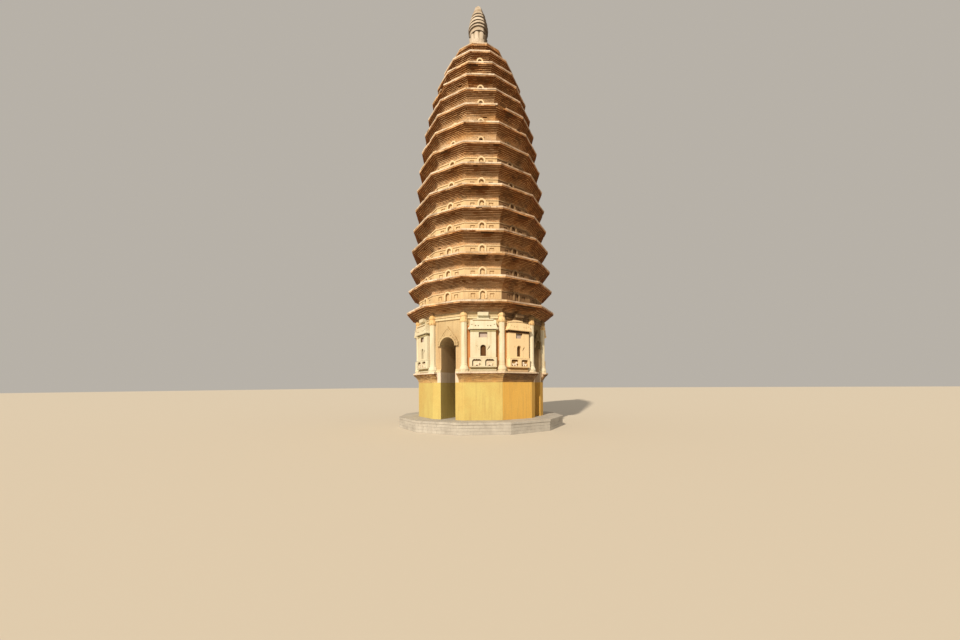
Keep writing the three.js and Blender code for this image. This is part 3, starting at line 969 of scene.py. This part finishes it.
def build_upper_walls():
    """The CAD walls and door heads stay, and bands run along the walls' foot and head."""
    for side in QUARTERS:
        paint(f"upper_wall_{side}", WALL)
    for side in DOOR_ANGLES:
        paint(f"door_head_{side}", DOOR_PLASTER)
    whole = (-BAND_HALF, BAND_HALF)
    bands = Builder(BANDS)
    for angle in FACE_ANGLES:
        spans = [whole]
        if angle in DOOR_ANGLES.values():
            spans = [(-BAND_HALF, -DOOR_HALF), (DOOR_HALF, BAND_HALF)]
        for span in spans:
            for depth, low, high, taper in FOOT_BANDS:
                bands.box(angle, span, (UPPER_OUT - 0.02, UPPER_OUT + depth), (low, high), taper=taper)
        for depth, low, high, taper in TOP_BANDS:
            bands.box(angle, whole, (TOP_BAND_OUT - 0.02, TOP_BAND_OUT + depth), (low, high), taper=taper)
    bands.finish("wall_bands", "wall_plaster")


def build_door_hoods():
    """Moulded band and flame-tipped relief round each doorway's arch."""
    face = UPPER_OUT + 0.14
    for side, angle in DOOR_ANGLES.items():
        hood = Builder(DOOR_PLASTER)
        for outer, inner, depth in DOOR_HOOD_BANDS:
            arches = []
            for grow, tip in (outer, inner):
                arches.append(arch_points(0, DOOR_HALF + grow, DOOR_SPRING, DOOR_SPRING, 16, tip))
            hood.arch_band(angle, *arches, face - 0.05, face + depth)
        for turn in (-1, 1):
            for step in range(4):
                a = math.pi / 2 - turn * (0.35 + 0.32 * step)
                u = (DOOR_HALF + 0.20) * math.cos(a)
                z = DOOR_SPRING + (DOOR_HALF + 0.20) * math.sin(a)
                leaf = [(-0.07, -0.05), (0.07, -0.05), (0.05, 0.06), (0, 0.15), (-0.05, 0.06)]
                leaf = [(u + across, z + up) for across, up in leaf]
                hood.plate(angle, leaf, face - 0.03, face + 0.045, bevel=0.012)
        hood.finish(f"door_hood_{side}", "wall_plaster")


def petal(place, rise):
    """Height of a pointed lotus petal's relief at a place across it (-1 to 1) and up it (0 to 1)."""
    edge = 0.92 * math.sqrt(max(0.0, 1 - rise ** 2.6))
    rim = edge - abs(place)
    if rim <= 0:
        return 0.0
    return min(1.0, rim / 0.16) * (0.65 + 0.35 * math.cos(place / max(edge, 0.05) * math.pi / 2))


def build_columns():
    """Corner columns: lotus base, eight-sided shaft, hanging collar with painted shade in its joints, and
    jewel bulb.
    """

    def bud(turn, rise):
        flame = 0.012 * math.cos(2 * math.pi * 8 * turn + 3.2 * rise) * math.sin(math.pi * rise)
        return blend(BUD, rise) + flame, BUD_BASE + (BUD_TIP - BUD_BASE) * rise

    foot = [(0, DECK), (0.35, DECK), (0.36, 4.47), (0.33, COLUMN_FOOT_TOP), (0, COLUMN_FOOT_TOP)]
    shaft = [
        (0, COLUMN_BASE_TOP), (0.25, COLUMN_BASE_TOP), (0.26, 4.92), (0.25, 4.96), (SHAFT_RADIUS, 4.98),
        (SHAFT_RADIUS, 7.98), (0.25, COLLAR_BASE), (0, COLLAR_BASE),
    ]
    for index, corner in enumerate(COLUMN_CORNERS):
        centre = on_face(corner, 0, COLUMN_AXIS, 0)[:2]
        start = corner / 360 + 0.5 / COLUMN_SIDES
        turn = corner / (360 / COLUMN_SIDES)
        column = Builder(CREAM)
        column.revolve(foot, COLUMN_SIDES, start, centre)
        column.lotus(COLUMN_FOOT_TOP, COLUMN_BASE_TOP, COLUMN_BASE, COLUMN_SIDES, 0.022, (8, 8), centre,
                     turn=turn)
        column.revolve(shaft, COLUMN_SIDES, start, centre)
        column.lotus(COLLAR_BASE, BUD_BASE + 0.02, COLLAR, COLUMN_SIDES, 0.03, (8, 10), centre, True, turn,
                     BULB)
        column.carve(48, 14, bud, centre, BULB)
        number = f"{index + 1:02d}"
        piece = column.finish(f"column_{number}", "relief_plaster", f"corner_column_{number}", smooth=32)

        def in_joint(middle, centre=centre, turn=turn):
            around = math.atan2(middle.x - centre[0], centre[1] - middle.y) / (2 * math.pi)
            place = (around * COLUMN_SIDES + turn) % 1 * 2 - 1
            return place > 0.8 and 0.01 < middle.z - COLLAR_BASE < 0.15

        # Painted shade in the joints between the collar's petals.
        repaint(piece, RECESS, in_joint)


def add_lion(niche, angle, middle, facing):
    """A small crouching guardian lion in relief: haunch, chest, maned head, legs and tail."""
    curls = []
    for curl in range(7):
        turn = math.pi * (0.25 + curl / 5)
        up = 0.225 + 0.068 * math.sin(turn)
        curls.append((0.135 + 0.068 * math.cos(turn), up, 0.03, 0.022, 0.022, 0.03))
    for across, up, forward, wide, tall, deep in LION_BODY + curls + LION_LIMBS:
        place = (middle + facing * across, PLINTH_OUT - 0.06 + forward, LION_BASE + up)
        niche.lump(angle, place, (wide, deep, tall), LION)


def add_stack(niche, angle, sections):
    """Lofts a niche's (half width, depth from the wall, height) sections."""
    rows = []
    for half, depth, up in sections:
        near = UPPER_OUT + depth
        corners = ((-half, near), (half, near), (half, NICHE_BACK), (-half, NICHE_BACK))
        rows.append([on_face(angle, across, out, up) for across, out in corners])
    niche.loft(rows)


def add_slab(niche, angle, half, depth, up, material=None, taper=0.0):
    """A block across a niche's middle, from inside the wall to a depth before it."""
    niche.box(angle, (-half, half), (NICHE_BACK, UPPER_OUT + depth), up, material, taper)


def add_plinth(niche, angle, arched):
    """Foot, shadow line and plinth with two sunk panels, rounded ends and a lion in each panel."""
    add_slab(niche, angle, NICHE_HALF, 0.18, (DECK, 4.455))
    add_slab(niche, angle, 0.97, 0.24, (4.455, 4.565), taper=0.012)
    add_slab(niche, angle, NICHE_HALF, 0.18, (4.565, PLINTH_BASE), BROWN if arched else OLIVE)
    shape = [(-across, up) for across, up in HALF_PANEL] + [(0.0, 5.31)] + HALF_PANEL[::-1]
    panels = []
    for middle in (-PANEL_MIDDLE, PANEL_MIDDLE):
        panels.append(([(middle + across, up) for across, up in shape], 0.13))
        for left, right, far, up in PANEL_SHADOWS:
            across = (middle + left, middle + right)
            niche.box(angle, across, (PLINTH_OUT - 0.14, PLINTH_OUT - far), up, RECESS)
    # On arched niches the panels' backs are brown, as painted shade.
    back = BROWN if arched else None
    niche.pierced(angle, PLINTH_OUT, (-NICHE_HALF, NICHE_HALF), PANEL, panels, back)
    add_stack(niche, angle, PLINTH_FOOT)
    add_stack(niche, angle, PLINTH_HEAD)
    for side in (-1, 1):
        end = [(side * 0.90, PLINTH_OUT - 0.001), (side * 0.90, NICHE_BACK), (side * 0.98, NICHE_BACK)]
        for i in range(6, -1, -1):
            a = math.pi / 2 * i / 6
            end.append((side * (NICHE_HALF + 0.08 * math.sin(a)), PLINTH_OUT - 0.20 * (1 - math.cos(a))))
        if side < 0:
            end.reverse()
        niche.loft([[on_face(angle, across, out, up) for across, out in end] for up in PANEL])
    for side in (-1, 1):
        add_lion(niche, angle, side * PANEL_MIDDLE, -side)


def add_body(niche, angle, arched):
    """Body with the blind doorway, cloud scrolls over it with a painted shadow beside the right-hand ones,
    and the sunk tablet in a raised frame.
    """
    whole = (-NICHE_HALF, NICHE_HALF)
    door = arch_points(0, 0.205, 5.52, 6.135, 10)
    tablet = opening((-TABLET_HALF, TABLET_HALF), (TABLET_LOW, TABLET_HIGH))
    niche.pierced(angle, NICHE_OUT, whole, (NICHE_FLOOR, 6.60), [(door, 0.17)], RECESS)
    niche.pierced(angle, NICHE_OUT, whole, (6.60, CAP_BASE), [(tablet, 0.11)], TABLET)
    shadow = DEEP_SHADE if arched else RECESS
    for right, low in ((-0.265, TABLET_LOW), (TABLET_HALF, 7.19)):
        depth = (NICHE_OUT - 0.12, NICHE_OUT - 0.02)
        niche.box(angle, (-TABLET_HALF, right), depth, (low, TABLET_HIGH), shadow)
    for left, right, low in TABLET_FRAME:
        niche.box(angle, (left, right), (NICHE_OUT - 0.01, NICHE_OUT + 0.015), (low, 7.275))
    rim = rectangle(whole, (NICHE_FLOOR, CAP_BASE))
    niche.strip(flat(angle, rim, NICHE_BACK), flat(angle, rim, NICHE_OUT))
    for hand in (-1, 1):
        if hand > 0:
            # A painted shadow beside the right-hand scrolls.
            scroll_shadow = [(0.28, 5.93), (0.38, 6.03), (0.47, 6.14), (0.51, 6.26), (0.42, 6.18), (0.34, 6.06)]
            niche.plate(angle, scroll_shadow, NICHE_OUT - 0.01, NICHE_OUT + 0.003, RECESS)
        niche.scroll(angle, hand * 0.43, 6.24, NICHE_OUT + 0.006, 0.075, hand, thickness=0.018)
        niche.scroll(angle, hand * 0.33, 6.00, NICHE_OUT + 0.006, 0.05, -hand, 0.8, 0.014)


def add_arched_cap(niche, angle):
    """A cap over two bands of painted shadow, with a low arch, a strip of painted shade in the joint over it
    and a rounded crown.
    """
    # Painted shadow under the cap.
    add_slab(niche, angle, 0.95, NICHE_DEPTH + 0.03, (7.25, 7.31), RECESS)
    add_slab(niche, angle, 0.95, NICHE_DEPTH + 0.03, (7.31, CAP_BASE), DEEP_SHADE)
    add_stack(niche, angle, CAP_FOOT + ARCHED_CAP)
    arch = [(0.93 * k / 8, 7.96 + 0.07 * (1 - (k / 8) ** 2)) for k in range(-8, 9)]
    outline = [(-0.93, 7.90), (0.93, 7.90)] + arch[::-1]
    niche.plate(angle, outline, NICHE_BACK, UPPER_OUT + 0.45, bevel=0.012)
    joint = [(across, up + 0.03) for across, up in arch]
    # Painted shade in the joint.
    niche.plate(angle, arch + joint[::-1], NICHE_BACK, UPPER_OUT + 0.425, RECESS)
    crown = BROKEN_CROWN if angle == BROKEN_CAP_ANGLE else CROWN
    under = [point for point in joint if point[0] < crown[-1][0]]
    niche.plate(angle, under + crown[::-1], NICHE_BACK, UPPER_OUT + 0.48, bevel=0.015)


def add_flat_cap(niche, angle):
    """A cap with a flat slab over it, and painted shadow under the cap's foot and under the slab."""
    # Painted shadow under the cap's foot, dark and then olive.
    add_slab(niche, angle, 0.95, NICHE_DEPTH + 0.02, (7.375, CAP_BASE), RECESS)
    add_slab(niche, angle, 0.95, NICHE_DEPTH + 0.045, (7.27, 7.375), OLIVE, 0.012)
    add_stack(niche, angle, CAP_FOOT + FLAT_CAP)
    # Painted shadow under the top slab.
    add_slab(niche, angle, 0.75, 0.465, (8.045, 8.085), BROWN)
    add_stack(niche, angle, TOP_SLAB)


def add_cap_scrolls(niche, angle, shadow_finish):
    """Scrolls on both halves of a cap, each with a painted shadow behind it and a dark disc of painted shade
    for a drilled eye.
    """
    for hand in (-1, 1):
        for across, up, radius in ((0.55, 7.68, 0.09), (0.34, 7.68, 0.075), (0.80, 7.77, 0.06)):
            middle = hand * across
            out = CAP_OUT - 0.048
            # A painted shadow behind the scroll.
            niche.scroll(angle, middle + 0.015, up - 0.015, out, radius, hand, 1.0, material=shadow_finish)
            niche.scroll(angle, middle, up, CAP_OUT - 0.034, radius, hand, thickness=0.02)
            # The eye is a dark disc of painted shade.
            eye = round_hole(middle, up, 0.45 * radius)
            niche.plate(angle, eye, CAP_OUT - 0.05, CAP_OUT - 0.018, shadow_finish)


def build_niche(angle, number):
    """A pavilion in relief: plinth of lions, blind doorway, bare tablet, cap and top block."""
    arched = angle in ARCHED_CAP_ANGLES
    niche = Builder(RELIEF)
    add_plinth(niche, angle, arched)
    add_body(niche, angle, arched)
    if arched:
        add_arched_cap(niche, angle)
    else:
        add_flat_cap(niche, angle)
    add_cap_scrolls(niche, angle, OLIVE if arched else RECESS)
    add_stack(niche, angle, STEM)
    add_stack(niche, angle, BLOCK)
    niche.finish(f"relief_{number:02d}", "relief_plaster", f"niche_{number:02d}", smooth=28)


def eave_sizes():
    """Distances out and heights of each eave, taken from its CAD node."""
    sizes = []
    foot = WALL_TOP
    for index in range(EAVE_COUNT):
        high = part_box(f"eave_{index + 1:02d}")[1]
        topmost = index == EAVE_COUNT - 1
        base = high.z - (LAST_ROOF_RISE if topmost else ROOF_RISE) - LIP_HEIGHT
        overhang = (FIRST_OVERHANG - OVERHANG_STEP * index) * COS_HALF
        sizes.append({
            "foot": foot,
            "wall": high.x - overhang if index else UPPER_OUT,
            "corbel": base - FIRST_CORBEL + CORBEL_STEP * index if index else WALL_TOP,
            "lip": high.x,
            "base": base,
            "rim": base + (LAST_LIP_HEIGHT if topmost else LIP_HEIGHT),
            "trim": LAST_LIP_TRIM if topmost else 0.0,
            "top": high.z,
        })
        foot = high.z
    walls = [size["wall"] for size in sizes[1:]] + [LOTUS_FOOT * COS_HALF]
    for size, wall in zip(sizes, walls):
        size["next"] = wall
    return sizes


def roof_rows(size):
    """Stepped rows of the low roof as (distance out, low, high), from the lip up to the next neck."""
    base = size["rim"]
    count = round((size["top"] - base) / ROOF_COURSE)
    rise = (size["top"] - base) / count
    rows = []
    for i in range(count):
        out = size["lip"] - 0.05 + (size["next"] - size["lip"] + 0.09) * ((i + 0.6) / count)
        rows.append((out, base + rise * i, base + rise * (i + 1)))
    return rows


def spots(table, tier, angle):
    """The (middle, half width) pairs that a table has for one face of an eave."""
    return [(middle, half) for eave, face, middle, half in table if (eave, face) == (tier, angle)]


def build_eave(index, size):
    """Concave corbel, lip and stepped roof in single bricks round a core, and the neck under them."""
    number = f"{index + 1:02d}"
    start = size["wall"] if index < WINDOWED_EAVES else size["wall"] + NECK_LEAN
    steps = corbel_steps(start, size["lip"], size["corbel"], size["base"])
    roof = roof_rows(size)
    lip = size["lip"] - size["trim"]
    base = size["base"]

    core = Builder(MORTAR)
    back = BORES[index]
    wall = size["wall"] - 0.12
    profile = [(back, size["foot"]), (wall, size["foot"]), (wall, size["corbel"])]
    for out, low, high in steps + [(lip - 0.05, base, size["rim"])] + roof:
        profile += [(out - CORE_SETBACK, low), (out - CORE_SETBACK, high)]
    profile.append((back, size["top"]))
    core.revolve([(out / COS_HALF, up) for out, up in profile], SIDES, 0.5 / SIDES, closed=True)
    core.finish(f"eave_core_{number}", "eave_brick")

    bricks = Bricks(WARM_BRICK, LIP_BRICK, ROOF_BRICK)
    for angle in FACE_ANGLES:
        soot = spots(SOOT, index + 1, angle)
        chips = spots(CHIPS, index + 1, angle)
        foot_tone = 0.76 + numbers.uniform(-0.06, 0.06) + FACE_TONES.get((index + 1, angle), 0.0)
        for row, (out, low, high) in enumerate(steps):
            share = row / (len(steps) - 1)
            bricks.course(angle, out, bedded(low, high), row % 2, tone=foot_tone - 0.42 * share, spread=0.12,
                          lost=0.001, worn=0.003, soot=soot, blackness=0.9 * share ** 3)
        # The lip's lower course is dark, as painted shade.
        bricks.course(angle, lip - 0.03, (base, base + 0.075), 0, length=LIP_BRICK_LENGTH,
                      depth=LIP_BRICK_DEPTH, tone=0.28, spread=0.12, rough=0.005, worn=0.01, chips=chips)
        lip_tone = 0.62 + numbers.uniform(-0.22, 0.14)
        bricks.course(angle, lip - 0.012, (base + 0.09, size["rim"]), 1, length=LIP_BRICK_LENGTH,
                      depth=LIP_BRICK_DEPTH, material=LIP_BRICK, tone=lip_tone, spread=0.18, rough=0.008,
                      worn=0.02, chips=chips)
        for row, (out, low, high) in enumerate(roof):
            bricks.course(angle, out, (low + 0.004, high - 0.003), row % 2, depth=0.22,
                          material=ROOF_BRICK, rough=0.004, worn=0.05, lost=0.01, chips=chips)
    bricks.finish(f"eave_bricks_{number}", "eave_brick", f"eave_{number}")
    if index:
        build_neck(index, size, number)


def build_neck(index, size, number):
    """The low wall between two eaves, with a blind door under a hood and, lower down, two windows."""
    plastered = index < WINDOWED_EAVES
    foot = size["foot"]
    top = size["corbel"]
    out = size["wall"]
    reach = out * TAN_HALF
    plane = out if plastered else out - 0.03
    sill = foot + 0.05
    outer, inner = (HOOD_OUTER, HOOD_INNER) if plastered else (PLAIN_HOOD_OUTER, PLAIN_HOOD_INNER)
    spring = top + 0.06 - outer
    neck = Builder(NECK if plastered else MORTAR)
    for angle in FACE_ANGLES:
        wobble = numbers.uniform(-0.015, 0.015)
        openings = [(arch_points(wobble, inner, sill, spring, 8), 0.10)]
        if plastered:
            for middle in WINDOW_MIDDLES:
                across = (middle - WINDOW_HALF, middle + WINDOW_HALF)
                openings.append((opening(across, (top - WINDOW_DROP, top - 0.22)), 0.08))
        neck.pierced(angle, plane, (-reach, reach), (foot, top), openings, None)

        # Hood over the blind door, with a leaf standing inside the sunk opening; under a raised hood it is
        # dark mortar, as painted shade.
        raised = angle in RAISED_HOOD_ANGLES and index in RAISED_HOODS
        crown, front = (top + RAISED_HOODS[index], out + 0.27) if raised else (top + 0.06, out + 0.085)
        arches = [arch_points(wobble, half, sill, crown - outer, 10) for half in (outer, inner)]
        neck.arch_band(angle, *arches, plane - 0.01, front, NECK_TRIM)
        if raised:
            # Dark mortar in the raised hood's opening, as painted shade.
            neck.plate(angle, arches[1][::-1], plane, front - 0.09, MORTAR)
        else:
            leaf = arch_points(wobble, 0.115, sill, spring - 0.04, 6)
            neck.plate(angle, leaf[::-1], plane - 0.10, plane - 0.035, NECK, 0.008)
        if plastered:
            for middle in WINDOW_MIDDLES:
                neck.box(angle, (middle - 0.09, middle + 0.09), (plane - 0.08, plane - 0.02),
                         (top - WINDOW_DROP, top - 0.29))
            depth = (out - 0.01, out + 0.06)
            for span in ((-reach, wobble - outer), (wobble + outer, reach)):
                neck.box(angle, span, depth, (top - 0.09, top - 0.02), NECK_TRIM, 0.01)
        else:
            depth = (plane - 0.01, out + 0.03)
            neck.box(angle, (-reach, reach), depth, (foot, foot + NECK_BAND), NECK_TRIM, 0.008)
    neck.finish(f"neck_wall_{number}", "eave_brick")
    if not plastered:
        build_neck_bricks(foot + NECK_BAND, top, out, outer, number)


def build_neck_bricks(base, top, out, door, number):
    """Courses of bricks that lean outwards on both sides of the blind doors."""
    bricks = Bricks(PALE_BRICK)
    count = round((top - base) / COURSE)
    rise = (top - base) / count
    for angle in FACE_ANGLES:
        for row in range(count):
            low = base + rise * row
            plane = out + NECK_LEAN * row / count
            reach = plane * TAN_HALF
            for span in ((-reach, -door), (door, reach)):
                bricks.course(angle, plane, bedded(low, low + rise), row % 2, span, depth=0.12, tone=0.72,
                              spread=0.12)
    bricks.finish(f"neck_bricks_{number}", "eave_brick")


def build_finial():
    """Lotus base with bowl and petalled drum, seven rings with painted shade in the grooves between them and
    on their upper slopes, and a jewel.
    """

    def drum(turn, rise):
        place = (turn * DRUM_PETALS + DRUM_TURN) % 1 * 2 - 1
        edge = PETAL_EDGE * math.sqrt(max(0.0, 1 - rise ** PETAL_BLUNT))
        relief = min(1.0, max(0.0, (edge - abs(place)) / 0.24)) ** 0.6
        swell = relief * (0.75 + 0.25 * math.cos(place * math.pi / 2))
        return 0.65 + 0.04 * rise + (0.08 + 0.04 * rise) * swell, DRUM_BASE + (DRUM_TOP - DRUM_BASE) * rise

    base = Builder(LOTUS_STONE)
    foot = [(0, FINIAL_BASE), (1.09, FINIAL_BASE), (1.12, 32.30), (1.17, SKIRT_TOP), (0, SKIRT_TOP)]
    base.revolve(foot, 48)
    base.lotus(SKIRT_TOP, BOWL_BASE, SKIRT, 12, 0.05, (8, 12), hanging=True)
    base.lotus(BOWL_BASE, DRUM_BASE, BOWL, DRUM_PETALS, 0.07, (12, 16), turn=DRUM_TURN)
    base.carve(DRUM_PETALS * 16, 16, drum)
    base.revolve([(0, DRUM_TOP), (0.68, DRUM_TOP), (0.69, RINGS[0][0]), (0, RINGS[0][0])], 40)
    base.finish("finial_lotus_base", "finial_stone", "finial_lotus", smooth=34)

    rings = Builder(FINIAL_STONE)
    grooves = []
    above = [(low, radius * GROOVE_SHARE) for low, radius, shoulder in RINGS[1:]] + [(JEWEL_BASE, 0.42)]
    for (low, radius, shoulder), (high, neck) in zip(RINGS, above):
        section = [
            (0.0, radius * GROOVE_SHARE), (0.05, radius * 0.975), (0.16, radius), (shoulder - 0.12, radius),
            (shoulder, radius * 0.985), (shoulder + 0.4 * (1 - shoulder), neck + 0.01), (1.0, neck),
        ]
        # Where the rings get painted shade: above each groove and on the upper slope.
        grooves += [(low, low + GROOVE_SHADE), (low + (high - low) * (shoulder + 0.01), high)]

        def ring(turn, rise, section=section, low=low, high=high):
            wear = 1 - 0.012 * (1 + math.sin(2 * math.pi * 3 * turn + low * 9)) * math.sin(math.pi * rise)
            return blend(section, rise) * wear, low + (high - low) * rise

        rings.carve(64, 25, ring)

    def in_groove(middle):
        """Whether a place gets painted shade. The topmost ring has none."""
        return any(low < middle.z < high for low, high in grooves[:-2])

    stack = rings.finish("finial_ring_stack", "finial_stone", "finial_rings", smooth=34)
    repaint(stack, RING_SHADE_STONE, in_groove)

    def flame(turn, rise):
        groove = 0.02 * abs(math.sin(math.pi * 5 * turn + 1.2 * rise)) * math.sin(math.pi * rise)
        return blend(JEWEL, rise) - groove, JEWEL_BASE + (TIP - JEWEL_BASE) * rise

    jewel = Builder(FINIAL_STONE)
    jewel.carve(60, 18, flame)
    jewel.finish("finial_top_jewel", "finial_stone", "finial_jewel", smooth=34)


def build_floor():
    """Pale ground for the pictures only."""
    mesh = bpy.data.meshes.new("ground")
    far = 400
    mesh.from_pydata([(-far, -far, 0), (far, -far, 0), (far, far, 0), (-far, far, 0)], [], [(0, 1, 2, 3)])
    shade = Shade("ground_shade", 0.95)
    shade.join((0.62, 0.56, 0.47), shade.surface.inputs["Base Color"])
    mesh.materials.append(shade.material)
    add_object("ground", mesh)


def build_light():
    """A low warm sun in front, and a pale sky."""
    sun = bpy.data.lights.new("sun", "SUN")
    sun.energy = SUN_POWER
    sun.angle = math.radians(SUN_SPREAD)
    sun.color = (1.0, 0.87, 0.68)
    up = math.radians(SUN_ELEVATION)
    towards = Vector(on_face(SUN_AZIMUTH, 0, math.cos(up), math.sin(up)))
    add_object("sun", sun).rotation_euler = towards.to_track_quat("Z", "Y").to_euler()

    world = bpy.data.worlds.new("sky")
    bpy.context.scene.world = world
    world.use_nodes = True
    sky = world.node_tree.nodes["Background"]
    sky.inputs["Color"].default_value = (0.95, 0.88, 0.78, 1)
    sky.inputs["Strength"].default_value = SKY_STRENGTH


def build_camera():
    """The photograph's level camera, shifted upwards and rolled a little."""
    camera = bpy.data.cameras.new("camera")
    camera.sensor_width = SENSOR
    camera.lens = PHOTO_FOCAL * ZOOM / PHOTO_WIDTH * SENSOR
    horizon_row = TIP_ROW + PHOTO_TIP_RISE * ZOOM
    camera.shift_x = -AXIS_SHIFT * ZOOM / PHOTO_WIDTH
    camera.shift_y = (horizon_row - PHOTO_HEIGHT / 2) / PHOTO_WIDTH
    camera.clip_end = 1000
    holder = add_object("camera", camera)
    holder.location = on_face(CAMERA_AZIMUTH, 0, CAMERA_DISTANCE, CAMERA_HEIGHT)
    aim = Vector(on_face(CAMERA_AZIMUTH, 0, -1, 0)).to_track_quat("-Z", "Y")
    roll = Quaternion(Vector((0, 0, 1)), -math.radians(CAMERA_ROLL))
    holder.rotation_euler = (aim @ roll).to_euler()
    bpy.context.scene.camera = holder


build_platform()
build_lower_walls()
build_upper_walls()
build_door_hoods()
build_columns()
for count, angle in enumerate(NICHE_ANGLES):
    build_niche(angle, count + 1)
for count, size in enumerate(eave_sizes()):
    build_eave(count, size)
build_finial()
build_floor()
build_light()
build_camera()

bpy.context.scene.view_settings.view_transform = "Standard"
